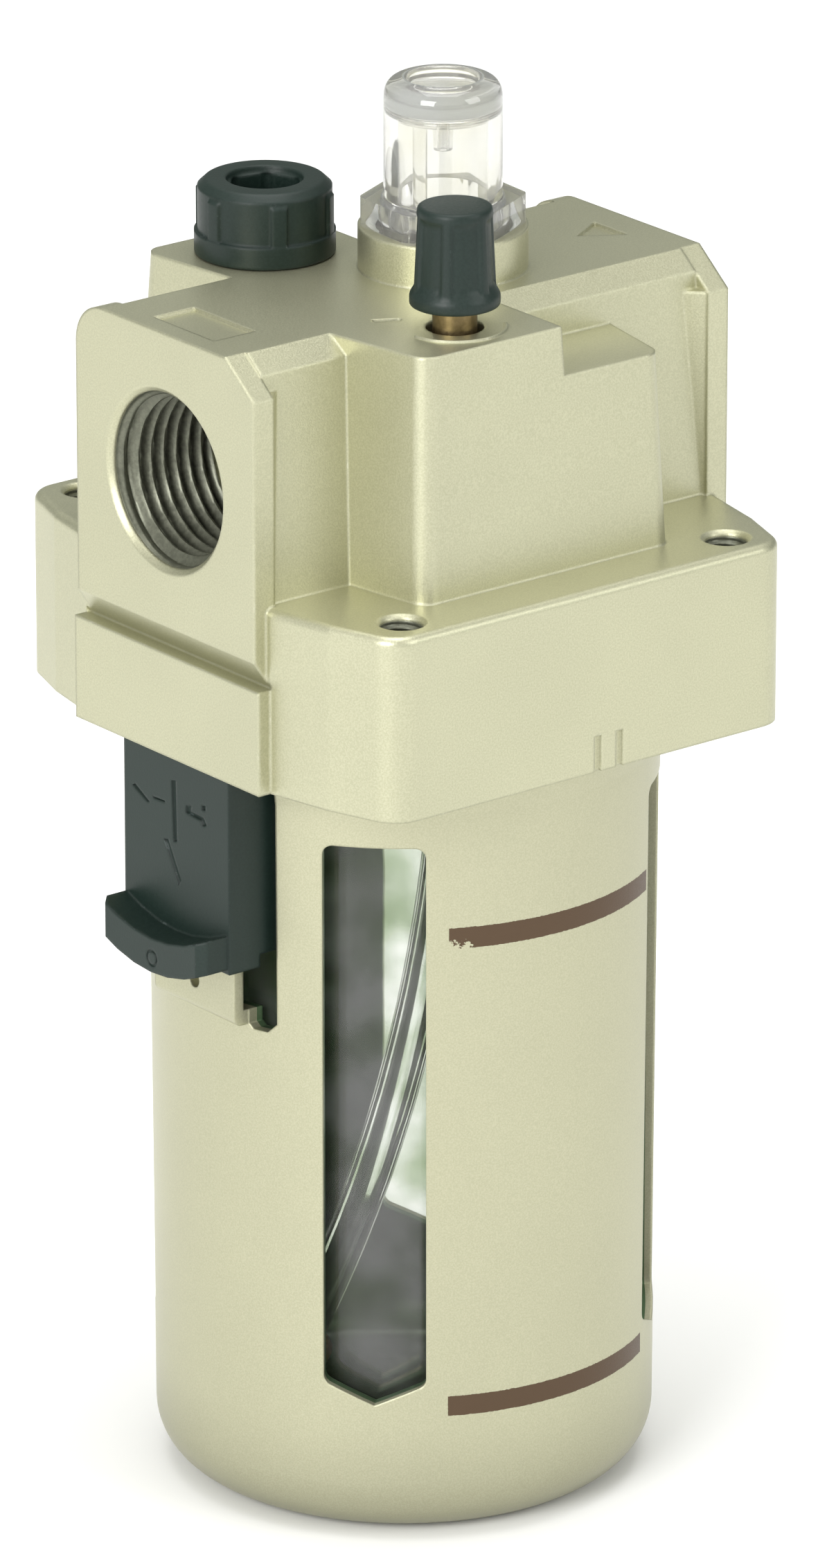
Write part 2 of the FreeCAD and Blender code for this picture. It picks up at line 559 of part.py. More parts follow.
    # Air passage and threaded ports
    for name, lift, radius, deep, flip in (
            ("passage", half, "passage_radius", "port_span", False),
            ("outlet_port", half, "port_radius", "port_depth", False),
            ("inlet_port", f"-{half}", "port_radius", "port_depth", True)):
        mouth = sketch(body, "YZ_Plane", f"{name}_mouth", lift)
        circle(mouth, "0", "port_height", radius)
        port = extrude(body, "Pocket", name, mouth, deep, flip=flip)
    face, wall = val(half), val("port_radius")
    dress(body, "Chamfer", "port_mouths", port, "port_chamfer",
          lambda edge, p: edge.Curve.TypeId == "Part::GeomCircle" and abs(edge.Curve.Radius - wall) < 1e-3
          and abs(abs(p.x) - face) < 1e-3)

    # Bowl bore with the bayonet groove
    profile = sketch(body, "XZ_Plane", "bowl_bore_profile")
    polygon(profile, [("0", SKIRT + " - 1"), ("mouth_radius", SKIRT + " - 1"), ("mouth_radius", LEDGE),
                      ("lug_groove_radius", LEDGE), ("lug_groove_radius", LUG_ROOF),
                      ("mouth_radius", LUG_ROOF), ("mouth_radius", CEILING), ("0", CEILING)])
    revolve(body, "Groove", "bowl_bore", profile)

    # Gates in the ledge, half a quarter turn from the locked lugs
    gate = sketch(body, "XY_Plane", "gate_outline", SKIRT)
    polygon(gate, [("20", "-(lug_width / 2 + 1)"), ("lug_groove_radius - 0.9", "-(lug_width / 2 + 1)"),
                   ("lug_groove_radius - 0.9", "lug_width / 2 + 1"), ("20", "lug_width / 2 + 1")])
    turn_sketch(gate, "bowl_turn")
    first_gate = extrude(body, "Pocket", "gate", gate, "ledge_tall + 0.5", flip=True)
    polar(body, "gates", first_gate, 4)

    # Arc pocket for the latch's nose, from the locked place to the bowl's full turn
    pocket = sketch(body, "XZ_Plane", "latch_pocket_profile")
    polygon(pocket, [("-(latch_nose_in - 0.4)", SKIRT + " - 1"), ("-(latch_nose_out + 0.6)", SKIRT + " - 1"),
                     ("-(latch_nose_out + 0.6)", SKIRT + " + latch_nose_tall"),
                     ("-(latch_nose_in - 0.4)", SKIRT + " + latch_nose_tall")])
    clear = "(asin((latch_nose_half + fit_gap) / latch_nose_in) / 1deg)"
    turn_sketch(pocket, f"-{clear}", Vector(0, 1, 0))
    groove = body.newObject("PartDesign::Groove", "latch_pocket")
    groove.Profile = pocket
    groove.ReferenceAxis = (pocket, ["V_Axis"])
    groove.Angle = val(f"bowl_turn + 2 * {clear}")
    groove.setExpression("Angle", bound(f"bowl_turn + 2 * {clear}"))

    # Valve, fill and dome bores
    bore(body, "needle_upper", "needle_x", "needle_y", TOP, "needle_bore", "needle_bore_deep")
    bore(body, "needle_lower", "needle_x", "needle_y", TOP, "needle_low_bore", "needle_low_deep")
    bore(body, "needle_channel", "needle_x", "needle_y", TOP, "oil_channel", "top_rise + skirt_drop - cavity_tall + 1")
    bore(body, "plug_thread_hole", "plug_x", "plug_y", TOP, "plug_thread", "plug_thread_deep")
    bore(body, "plug_fill_hole", "plug_x", "plug_y", TOP, "fill_hole", "top_rise + skirt_drop - cavity_tall + 1")
    bore(body, "plug_seal_seat", "plug_x", "plug_y", TOP, "plug_thread + 1.1", "seal_seat")
    bore(body, "dome_thread_hole", "dome_x", "dome_y", COLLAR, "dome_thread + running_gap", "dome_shank + 0.3")
    bore(body, "drip_hole_down", "dome_x", "dome_y", COLLAR, "drip_hole", "collar_tall + top_rise")
    bore(body, "dome_seal_seat", "dome_x", "dome_y", COLLAR, "dome_thread + seal_seat", "seal_seat")

    # Four screw holes with a small countersink
    mouths = sketch(body, "XY_Plane", "screw_hole_mouths", FLANGE)
    for x in (-1, 1):
        for y in (-1, 1):
            circle(mouths, f"{x} * bolt_span_x / 2", f"{y} * bolt_span_y / 2", "bolt_radius")
    holes = extrude(body, "Pocket", "screw_holes", mouths, "bolt_deep")
    hole = val("bolt_radius")
    dress(body, "Chamfer", "screw_hole_mouth_edges", holes, "bolt_sink",
          lambda edge, p: edge.Curve.TypeId == "Part::GeomCircle" and abs(edge.Curve.Radius - hole) < 1e-3
          and level(edge, top))
    cast_marks(body)
    return body


def cast_marks(body):
    """Plain marks on the casting: a panel, an arrow head, a dash, a raised arc and two ticks."""
    marks = sketch(body, "XY_Plane", "top_marks", TOP)
    polygon(marks, [("-32.2", "-5.9"), ("-26.4", "-5.9"), ("-26.4", "5.5"), ("-32.2", "5.5")])
    polygon(marks, [("25.5", "-0.5"), ("30.5", "-3.6"), ("30.5", "2.5")])
    polygon(marks, [("-13.6", "-11.6"), ("-10.8", "-13.2"), ("-10.4", "-12.5"), ("-13.2", "-10.9")])
    extrude(body, "Pocket", "top_marks_sunk", marks, "mark_deep")
    arc = sketch(body, "XZ_Plane", "valve_arc_section")
    arc.AttachmentOffset = Placement(Vector(val("needle_x"), 0, -val("needle_y")), Rotation())
    arc.setExpression("AttachmentOffset.Base.x", bound("needle_x"))
    arc.setExpression("AttachmentOffset.Base.z", bound("-needle_y"))
    turn_sketch(arc, "valve_arc_start", Vector(0, 1, 0))
    polygon(arc, [("valve_arc", TOP + " - mark_deep"), ("valve_arc + valve_arc_wide", TOP + " - mark_deep"),
                  ("valve_arc + valve_arc_wide", TOP + " + valve_arc_tall"), ("valve_arc", TOP + " + valve_arc_tall")])
    raised = revolve(body, "Revolution", "valve_arc_raised", arc)
    raised.Angle = val("valve_arc_span")
    raised.setExpression("Angle", bound("valve_arc_span"))
    raised.Reversed = True
    ticks = sketch(body, "XZ_Plane", "front_ticks", "flange_half_depth")
    for x in ("0.4", "3.6"):
        polygon(ticks, [(x, SKIRT), (f"{x} + 1", SKIRT), (f"{x} + 1", SKIRT + " + 4.4"), (x, SKIRT + " + 4.4")])
    extrude(body, "Pocket", "front_ticks_sunk", ticks, "mark_deep")


def sight_dome():
    """Clear screwed-in sight dome with a hexagon and a hollow that opens downwards."""
    body = turned("sight_dome", [
        ("dome_throat", "-dome_shank"), ("dome_thread", "-dome_shank"), ("dome_thread", "0"),
        ("dome_radius", "0"), ("dome_radius", "dome_hex_tall + dome_tall"),
        ("dome_dish", "dome_hex_tall + dome_tall"), ("dome_dish - 0.4", "dome_hex_tall + dome_tall - 0.5"),
        ("0", "dome_hex_tall + dome_tall - dome_dish_deep"), ("0", "dome_hex_tall + dome_tall - dome_roof"),
        ("dome_radius - dome_wall", "dome_hex_tall + dome_tall - dome_roof"),
        ("dome_radius - dome_wall", "0.6"), ("dome_throat", "-0.8"),
    ], "dome_x", "dome_y", COLLAR)
    rim = val("dome_radius")
    crown = val("dome_hex_tall + dome_tall")
    dress(body, "Fillet", "dome_crown", body.Tip, "dome_crown",
          lambda edge, p: level(edge, crown) and abs(math.hypot(p.x, p.y) - rim) < 1e-3)
    outline = sketch(body, "XY_Plane", "hexagon")
    corner = "(dome_hex_flats / 2 / cos(30deg))"
    points = []
    for index in range(6):
        turn = f"(dome_hex_turn * 1deg + {60 * index}deg)"
        points.append((f"{corner} * cos({turn})", f"{corner} * sin({turn})"))
    polygon(outline, points)
    circle(outline, "0", "0", "dome_radius - 0.8")
    extrude(body, "Pad", "hexagon_pad", outline, "dome_hex_tall")
    return body


def seal_ring(name, ring, wire, x="0", y="0", z="0"):
    """A round rubber ring of a given ring radius and section radius."""
    body = new_body(name, x, y, z)
    section = sketch(body, "XZ_Plane", f"{name}_section")
    circle(section, ring, "0", wire)
    revolve(body, "Revolution", f"{name}_ring", section)
    return body


def drip_insert():
    """Clear insert under the dome's roof: riser, roof disc and drip nozzle."""
    roof = "(dome_hex_tall + dome_tall - dome_roof - slot_gap)"
    body = turned("drip_insert", [
        ("nozzle_bore", f"{roof} - nozzle_long"), ("nozzle_tip", f"{roof} - nozzle_long"),
        ("nozzle_tip + 0.2", f"{roof} - insert_thick"),
        ("dome_radius - dome_wall - seat_gap", f"{roof} - insert_thick"),
        ("dome_radius - dome_wall - seat_gap", roof), ("nozzle_bore", roof),
    ], "dome_x", "dome_y", COLLAR)
    riser = sketch(body, "XY_Plane", "riser_section", "-(dome_shank + 0.25)")
    circle(riser, "riser_x", "riser_y", "riser_radius")
    extrude(body, "Pad", "riser", riser, f"dome_shank + 0.25 + {roof} - insert_thick / 2")
    return body


def needle_parts():
    """Needle stem, gland and seal on the valve axis, measured down from the top face."""
    place = ("needle_x", "needle_y", TOP)
    stem = turned("needle_stem", [
        ("0", "knob_clear + stem_in_knob"), ("stem_radius", "knob_clear + stem_in_knob"),
        ("stem_radius", "1.3 - stem_seal_drop"), ("stem_neck", "1.3 - stem_seal_drop"),
        ("stem_neck", "-1.2 - stem_seal_drop"), ("needle_bore - 0.2", "-1.2 - stem_seal_drop"),
        ("needle_bore - 0.2", "0.5 - needle_bore_deep"), ("needle_low_bore - running_gap", "0.5 - needle_bore_deep"),
        ("needle_low_bore - running_gap", "4 - needle_low_deep"), ("oil_channel / 2", "0.5 - needle_low_deep"),
        ("0", "0.5 - needle_low_deep"),
    ], *place)
    gland = turned("needle_gland", [
        ("stem_radius + running_gap", "-gland_low"), ("needle_bore - snug_gap", "-gland_low"),
        ("needle_bore - snug_gap", "-gland_top"), ("stem_radius + running_gap", "-gland_top"),
    ], *place)
    seal = seal_ring("needle_oring", "(stem_neck + needle_bore) / 2", "(needle_bore - stem_neck) / 2 - running_gap",
                     "needle_x", "needle_y", TOP + " - stem_seal_drop")
    return [stem, gland, seal]


def needle_knob():
    """Knob on the needle stem with six sunk panels between ribs, wider at its lip."""
    body = turned("needle_knob", [
        ("stem_radius + snug_gap", "0"), ("knob_lip_radius", "0"), ("knob_lip_radius", "knob_lip_tall - 0.6"),
        ("knob_body_radius", "knob_lip_tall"), ("knob_top_radius", "knob_tall"), ("0", "knob_tall"),
        ("0", "stem_in_knob + 0.2"), ("stem_radius + snug_gap", "stem_in_knob + 0.2"),
    ], "needle_x", "needle_y", TOP + " + knob_clear")
    crown, rim = val("knob_tall"), val("knob_top_radius")
    dress(body, "Fillet", "knob_crown", body.Tip, "knob_round",
          lambda edge, p: level(edge, crown) and abs(math.hypot(p.x, p.y) - rim) < 1e-3)
    panel = sketch(body, "XY_Plane", "panel_outline", "knob_lip_tall + 0.2")
    corners = []
    for reach, side in (("knob_panel", "-"), ("(knob_lip_radius + 1)", "-"), ("(knob_lip_radius + 1)", ""),
                        ("knob_panel", "")):
        corners.append((reach, f"{side}({reach} * tan(30deg) - knob_rib_half / cos(30deg))"))
    polygon(panel, corners)
    turn_sketch(panel, "knob_turn")
    cut = extrude(body, "Pocket", "panel", panel, "knob_tall - knob_lip_tall - 0.2 - 1.3 * knob_round", flip=True,
                  draft="knob_panel_lean")
    polar(body, "panels", cut, 6)
    notch = sketch(body, "XY_Plane", "pointer_notch", "knob_tall")
    polygon(notch, [("-3.4", "1.3"), ("-2.2", "1.1"), ("-2.5", "2.6")])
    extrude(body, "Pocket", "pointer", notch, "mark_deep")
    return body


def fill_plug():
    """Fill plug: base ring, grip with six ribs, hexagon socket and threaded shank."""
    body = turned("fill_plug", [
        ("0", "-plug_shank"), ("plug_thread - running_gap", "-plug_shank"),
        ("plug_thread - running_gap", "-seal_seat - 0.5"), ("plug_thread - 0.7", "-seal_seat - 0.5"),
        ("plug_thread - 0.7", "0"), ("plug_radius", "0"), ("plug_radius", "plug_ring_tall"),
        ("plug_grip_radius", "plug_ring_tall + 0.15"), ("plug_grip_radius", "plug_tall - plug_round"),
        ("plug_grip_radius - plug_round", "plug_tall"), ("0", "plug_tall"),
    ], "plug_x", "plug_y", TOP + " + seat_gap")
    socket = sketch(body, "XY_Plane", "socket_outline", "plug_tall")
    corner = "(plug_socket_flats / 2 / cos(30deg))"
    polygon(socket, [(f"{corner} * cos({60 * i + 12}deg)", f"{corner} * sin({60 * i + 12}deg)") for i in range(6)])
    extrude(body, "Pocket", "socket", socket, "plug_socket_deep")
    bore(body, "socket_lead_in", "0", "0", "plug_tall", "plug_lead", "plug_lead_deep")
    rib = sketch(body, "XY_Plane", "rib_outline", "plug_ring_tall - 0.2")
    polygon(rib, [("plug_grip_radius - 0.6", "-plug_rib_half"), ("plug_rib_radius", "-plug_rib_half"),
                  ("plug_rib_radius", "plug_rib_half"), ("plug_grip_radius - 0.6", "plug_rib_half")])
    turn_sketch(rib, "plug_turn")
    raised = extrude(body, "Pad", "rib", rib, "plug_tall - plug_ring_tall + 0.2 - plug_rib_drop")
    polar(body, "ribs", raised, 6)
    return body


def bowl_guard():
    """Metal bowl guard: draughted shell, windows, latch boss and slots, bayonet collar."""
    body = new_body("bowl_guard")
    profile = sketch(body, "XZ_Plane", "guard_profile")
    polygon(profile, [
        ("0", "0"), ("guard_low_radius", "0"), ("guard_top_radius", "window_top + 4"),
        ("guard_top_radius + guard_flare", SKIRT + " - fit_gap - 1"),
        ("guard_top_radius + guard_flare", SKIRT + " - fit_gap"),
        ("mouth_radius - fit_gap", SKIRT + " - fit_gap"), ("mouth_radius - fit_gap", LUG_ROOF + " - fit_gap"),
        ("inner_radius + fit_gap", LUG_ROOF + " - fit_gap"), ("inner_radius + fit_gap", SKIRT + " - fit_gap - 2"),
        ("guard_top_radius - guard_wall", "window_top + 2"), ("guard_low_radius - guard_wall", "guard_floor"),
        ("0", "guard_floor"),
    ])
    shell = revolve(body, "Revolution", "guard_turned", profile)
    outer, inner = val("guard_low_radius"), val("guard_low_radius - guard_wall")
    floor = val("guard_floor")
    shell = dress(body, "Fillet", "guard_base", shell, "guard_round",
                  lambda edge, p: level(edge, 0) and abs(math.hypot(p.x, p.y) - outer) < 0.05)
    shell = dress(body, "Fillet", "guard_inside_base", shell, "guard_round - guard_wall",
                  lambda edge, p: level(edge, floor) and abs(math.hypot(p.x, p.y) - inner) < 0.05)

    # Latch boss on the inlet side
    outline = sketch(body, "YZ_Plane", "boss_outline", "-boss_face")
    polygon(outline, [("-boss_half_width", "boss_low"), ("boss_half_width", "boss_low"),
                      ("boss_half_width", "boss_top"), ("-boss_half_width", "boss_top")])
    boss = extrude(body, "Pad", "boss", outline, "boss_face - guard_low_radius + 2.6")
    face, foot = val("boss_face"), val("boss_low")
    dress(body, "Fillet", "boss_foot", boss, "boss_round",
          lambda edge, p: level(edge, foot) and abs(p.x + face) < 1e-3)
    # The pad reaches no further in than the guard's inner wall
    hollow = sketch(body, "XY_Plane", "boss_hollow", "boss_low - 2")
    circle(hollow, "0", "0", "guard_low_radius - guard_wall + 0.35")
    extrude(body, "Pocket", "boss_hollow_cut", hollow, "boss_top - boss_low + 1", flip=True)

    # Spring pocket in the boss, and the two slots for the latch legs
    pocket = sketch(body, "YZ_Plane", "spring_pocket", "-boss_face")
    polygon(pocket, [("-(spring_radius + spring_wire + 0.5)", "spring_low - 0.1"),
                     ("spring_radius + spring_wire + 0.5", "spring_low - 0.1"),
                     ("spring_radius + spring_wire + 0.5", "spring_low + spring_tall + 3.3"),
                     ("-(spring_radius + spring_wire + 0.5)", "spring_low + spring_tall + 3.3")])
    extrude(body, "Pocket", "spring_pocket_cut", pocket, "2 * (spring_radius + spring_wire) + 0.2", flip=True)
    hole = sketch(body, "YZ_Plane", "boss_hole_mouth", "-boss_face")
    circle(hole, "0", "boss_low + boss_hole_up", "boss_hole")
    extrude(body, "Pocket", "boss_hole_cut", hole, "boss_wall", flip=True)
    thin = sketch(body, "XY_Plane", "boss_thin", "boss_low + 1.8")
    for side in (-1, 1):
        polygon(thin, [("-(boss_face - boss_wall)", f"{side} * boss_web_half"),
                       ("-(boss_face - boss_wall)", f"{side} * (boss_half_width + 0.2)"),
                       ("-(guard_low_radius - guard_wall - 3)", f"{side} * (boss_half_width + 0.2)"),
                       ("-(guard_low_radius - guard_wall - 3)", f"{side} * boss_web_half")])
    extrude(body, "Pocket", "boss_thin_cut", thin, "boss_top - boss_low - 3", flip=True)
    slots = sketch(body, "YZ_Plane", "latch_slots", "-latch_face - 1")
    for side in (-1, 1):
        polygon(slots, [
            (f"{side} * (boss_half_width + slot_gap)", "slot_low + 0.6"),
            (f"{side} * (boss_half_width + slot_gap + 0.6)", "slot_low"),
            (f"{side} * (slot_out - 1.2)", "slot_low"), (f"{side} * slot_out", "slot_low + 1.2"),
            (f"{side} * slot_out", SKIRT + " - fit_gap"), (f"{side} * (boss_half_width + slot_gap)", SKIRT + " - fit_gap"),
        ])
    extrude(body, "Pocket", "latch_slot_cuts", slots, "13", flip=True)

    # Windows between the axes
    frame = sketch(body, "XZ_Plane", "window_outline")
    polygon(frame, [("-window_width / 2", "window_top"), ("-window_width / 2", "window_low"), ("0", "window_point"),
                    ("window_width / 2", "window_low"), ("window_width / 2", "window_top")])
    turn_sketch(frame, "45", Vector(0, 1, 0))
    opening = extrude(body, "Pocket", "window", frame, "guard_top_radius + 3", flip=True)
    polar(body, "windows", opening, 4)
    low, high, across = val("window_low"), val("window_top"), val("1.3 * guard_wall")
    bore, skin = val("guard_low_radius - guard_wall"), val("guard_top_radius")

    def window_corner(edge, p):
        """True for the short edges across the wall at a window's corners."""
        if edge.Curve.TypeId != "Part::GeomLine" or edge.Length > across:
            return False
        return min(abs(p.z - low), abs(p.z - high)) < 0.05 and bore < math.hypot(p.x, p.y) < skin
    dress(body, "Fillet", "window_corners", body.Tip, "window_round", window_corner)

    # Four bayonet lugs, locked on the X and Y axes
    lug = sketch(body, "XY_Plane", "lug_outline", LEDGE + " + fit_gap")
    polygon(lug, [("inner_radius + 1", "-lug_width / 2"), ("lug_groove_radius - 1.0", "-lug_width / 2"),
                  ("lug_groove_radius - 1.0", "lug_width / 2"), ("inner_radius + 1", "lug_width / 2")])
    first = extrude(body, "Pad", "lug", lug, "lug_groove_tall - 2 * fit_gap")
    polar(body, "lugs", first, 4)
    return body


def inner_bowl():
    """Clear bowl hung in the guard's collar by its rim, with a neck for the seal."""
    rim = "(port_height - skirt_drop + ledge_tall + lug_groove_tall - fit_gap)"
    body = turned("inner_bowl", [
        ("0", "guard_floor + 0.4"), ("inner_radius", "guard_floor + 0.4"), ("inner_radius", rim),
        ("inner_rim_radius", rim), ("inner_rim_radius", f"{rim} + inner_rim_tall"),
        ("inner_neck_radius", f"{rim} + inner_rim_tall"), ("inner_neck_radius", f"{rim} + inner_rim_tall + 3.4"),
        ("inner_neck_radius + 1.6", f"{rim} + inner_rim_tall + 3.4"),
        ("inner_neck_radius + 1.6", f"{rim} + inner_rim_tall + 4.8"),
        ("inner_radius - inner_wall", f"{rim} + inner_rim_tall + 4.8"),
        ("inner_radius - inner_wall", "guard_floor + 0.4 + inner_wall"), ("0", "guard_floor + 0.4 + inner_wall"),
    ])
    low, inner = val("guard_floor + 0.4"), val("inner_radius - inner_wall")
    floor, outer = val("guard_floor + 0.4 + inner_wall"), val("inner_radius")
    shell = dress(body, "Fillet", "bowl_base", body.Tip, "inner_round",
                  lambda edge, p: level(edge, low) and abs(math.hypot(p.x, p.y) - outer) < 0.05)
    dress(body, "Fillet", "bowl_inside_base", shell, "inner_round - inner_wall",
          lambda edge, p: level(edge, floor) and abs(math.hypot(p.x, p.y) - inner) < 0.05)
    return body


def latch_button():
    """Latch: face plate, legs in the guard's slots, spring tab, nose and thumb lip."""
    body = new_body("latch_button")
    top = "(port_height - skirt_drop - fit_gap)"
    foot = "(latch_low - latch_foot_low + latch_foot_step)"
    outline = sketch(body, "XY_Plane", "latch_section", foot)
    inner = "(latch_face - latch_thick)"
    leg_end = "(latch_face - latch_leg_in)"
    polygon(outline, [
        ("-latch_face", "-latch_half_width"), (f"-{leg_end}", "-latch_half_width"),
        (f"-{leg_end}", "-(latch_half_width - latch_leg)"), (f"-{inner}", "-(latch_half_width - latch_leg)"),
        (f"-{inner}", "latch_half_width - latch_leg"), (f"-{leg_end}", "latch_half_width - latch_leg"),
        (f"-{leg_end}", "latch_half_width"), ("-latch_face", "latch_half_width"),
    ])
    extrude(body, "Pad", "latch_plate", outline, f"{top} - {foot}")

    # Thumb lip: a bar across the foot that sags in the middle
    lip = sketch(body, "YZ_Plane", "lip_outline", "-(latch_face + latch_lip_out)")
    steps = 6
    upper, lower = [], []
    for index in range(steps + 1):
        share = 2 * index / steps - 1
        sag = f"latch_lip_sag * (1 - {share * share:.4f})"
        upper.append((f"{share:.4f} * latch_lip_half", f"latch_low + latch_lip_tall - {sag}"))
        lower.append((f"{share:.4f} * latch_lip_half", f"latch_low - {sag}"))
    polygon(lip, lower + upper[::-1])
    bar = extrude(body, "Pad", "thumb_lip", lip, f"latch_face + latch_lip_out - {inner}")
    reach = val("latch_face + latch_lip_out")
    width = val("latch_lip_half")
    dress(body, "Chamfer", "lip_ends", bar, "latch_lip_bevel",
          lambda edge, p: abs(p.x + reach) < 1e-3 and abs(abs(p.y) - width) < 1e-3)
    feet = sketch(body, "XY_Plane", "low_feet", "latch_low - latch_foot_low")
    for side in (-1, 1):
        near, far = f"{side} * (latch_half_width - latch_leg)", f"{side} * latch_half_width"
        start, end = "-latch_face", "-(latch_face - latch_foot_in)"
        polygon(feet, [(start, near), (end, near), (end, far), (start, far)])
    extrude(body, "Pad", "low_feet_pad", feet, "latch_foot_step + seat_gap")

    # Nose that locks the bowl, and tab that rests on the spring
    nose = sketch(body, "XY_Plane", "nose_outline", f"{top} - 0.5")
    polygon(nose, [("-latch_nose_out", "-latch_nose_half"), ("-latch_nose_in", "-latch_nose_half"),
                   ("-latch_nose_in", "latch_nose_half"), ("-latch_nose_out", "latch_nose_half")])
    extrude(body, "Pad", "nose", nose, "latch_nose_tall - fit_gap + 0.5")
    tab = sketch(body, "XY_Plane", "tab_outline", "spring_low + spring_tall + 0.1")
    polygon(tab, [(f"-{inner} - 0.5", "-spring_radius"), (f"-{inner} + 2.2", "-spring_radius"),
                  (f"-{inner} + 2.2", "spring_radius"), (f"-{inner} - 0.5", "spring_radius")])
    extrude(body, "Pad", "spring_tab", tab, "3")

    # Plain engraved lines on the face and a ring on the lip
    marks = sketch(body, "YZ_Plane", "face_marks", "-latch_face")
    head = "(port_height - skirt_drop)"
    for line in FACE_MARKS:
        polygon(marks, [(str(y), f"{head} - {drop}") for y, drop in line])
    extrude(body, "Pocket", "face_marks_sunk", marks, "engraving", flip=True)
    ring = sketch(body, "YZ_Plane", "lip_ring", "-(latch_face + latch_lip_out)")
    middle = "latch_low - latch_lip_sag + latch_lip_tall / 2 - engraving"
    circle(ring, "-engraving", middle, "latch_lip_ring")
    circle(ring, "-engraving", middle, "latch_lip_ring - engraving")
    extrude(body, "Pocket", "lip_ring_sunk", ring, "engraving / 2", flip=True)
    return body


def latch_spring():
    """Compression spring behind the latch, a round wire swept along a helix."""
    pitch = val("spring_tall - 2 * spring_wire") / val("spring_turns")
    ring = val("spring_radius")
    wire = val("spring_wire")
    helix = Part.makeHelix(pitch, val("spring_tall - 2 * spring_wire"), ring)
    start = Part.Wire([Part.makeCircle(wire, Vector(ring, 0, 0), Vector(0, 1, 0))])
    coil = Part.Wire(helix.Edges).makePipeShell([start], True, True)
    feature = doc.addObject("Part::Feature", "latch_spring")
    feature.Label = "latch_spring"
    feature.Shape = coil
    centre = -(val("boss_face") - ring - wire - 0.05)
    feature.Placement = Placement(Vector(centre, 0, val("spring_low") + wire), Rotation())
    return feature


def siphon_parts():
    """Adapter, check ball, bent tube and filter below the needle valve."""
    drop = val(CEILING) - val("adapter_tall") + val("tube_socket")
    reach = val("tube_reach")
    fall = drop - val("tube_foot")
    radius = (fall * fall + reach * reach) / (2 * reach)
    bend = math.degrees(math.asin(fall / radius))
    place = Vector(val("needle_x"), val("needle_y"), drop)
    heading = val("tube_heading")

    adapter = turned("siphon_adapter", [
        ("oil_channel", "-slot_gap"), ("adapter_radius", "-slot_gap"), ("adapter_radius", "-2.4"),
        ("adapter_sleeve", "-2.8"), ("adapter_sleeve", "-adapter_tall"),
        ("tube_radius + snug_gap", "-adapter_tall"), ("tube_radius + snug_gap", "tube_socket + 0.05 - adapter_tall"),
        ("oil_channel", "tube_socket + 0.05 - adapter_tall"), ("ball_radius + 0.35", "-4.2"),
        ("ball_radius + 0.35", "-1.2"), ("oil_channel", "-0.6"),
    ], "needle_x", "needle_y", CEILING)
    ball = doc.addObject("Part::Sphere", "check_ball")
    ball.Label = "check_ball"
    ball.Radius = val("ball_radius")
    ball.setExpression("Radius", bound("ball_radius"))
    ball.Placement = Placement(Vector(place.x, place.y, val(CEILING) - val("ball_drop")), Rotation())
    ball.setExpression("Placement.Base.x", bound("needle_x"))
    ball.setExpression("Placement.Base.y", bound("needle_y"))
    ball.setExpression("Placement.Base.z", bound(CEILING + " - ball_drop"))

    centre = Vector(radius, 0, 0)
    path = Part.Wire([Part.Arc(
        Vector(0, 0, 0),
        centre + Vector(-radius * math.cos(math.radians(bend / 2)), 0, -radius * math.sin(math.radians(bend / 2))),
        centre + Vector(-radius * math.cos(math.radians(bend)), 0, -radius * math.sin(math.radians(bend))),
    ).toShape()])
    pipes = []
    for size in (val("tube_radius"), val("tube_bore")):
        ring = Part.Wire([Part.makeCircle(size, Vector(0, 0, 0), Vector(0, 0, 1))])
        pipes.append(path.makePipeShell([ring], True, False))
    tube = doc.addObject("Part::Feature", "siphon_tube")
    tube.Label = "siphon_tube"
    tube.Shape = pipes[0].cut(pipes[1])
    tube.Placement = Placement(place, Rotation(Vector(0, 0, 1), heading))

    tip = tube.Placement.multVec(path.Vertexes[-1].Point)
    lean = Rotation(Vector(0, 0, 1), heading).multiply(Rotation(Vector(0, 1, 0), -bend))
    filter_body = turned("siphon_filter", [
        ("0", "filter_socket"), ("tube_radius + snug_gap", "filter_socket"), ("tube_radius + snug_gap", "0"),
        ("filter_radius - filter_bevel", "0"), ("filter_radius", "filter_bevel"),
        ("filter_radius", "filter_tall - filter_bevel"), ("filter_radius - filter_bevel", "filter_tall"),
        ("0", "filter_tall"),
    ])
    down = lean.multiply(Rotation(Vector(0, 1, 0), 180))
    axis = down.multVec(Vector(0, 0, 1))
    filter_body.Placement = Placement(tip - axis * (val("filter_socket") - val("slot_gap")), down)
    return [adapter, ball, tube, filter_body]


def flow_parts():
    """Sleeve in the passage under the drip hole, and the flexible disc that closes on it."""
    holder = new_body("damper_holder", "dome_x", "0", "port_height")
    ring = sketch(holder, "YZ_Plane", "holder_ring", "-holder_long / 2")
    circle(ring, "0", "0", "passage_radius - snug_gap")
    circle(ring, "0", "0", "passage_radius - holder_wall")
    extrude(holder, "Pad", "holder_sleeve", ring, "holder_long")
    drip = sketch(holder, "XY_Plane", "holder_drip_hole")
    circle(drip, "0", "dome_y", "drip_hole - 0.6")
    extrude(holder, "Pocket", "holder_drip", drip, "passage_radius + 1", flip=True)
    damper = new_body("flow_damper", "dome_x - holder_long / 2 - damper_thick - snug_gap", "0", "port_height")
    disc = sketch(damper, "YZ_Plane", "damper_disc")
    circle(disc, "0", "0", "passage_radius - 0.25")
    for index in range(3):
        turn = f"{120 * index + 30}deg"
        circle(disc, f"damper_hole_ring * cos({turn})", f"damper_hole_ring * sin({turn})", "damper_hole")
    extrude(damper, "Pad", "damper_plate", disc, "damper_thick")
    return [holder, damper]


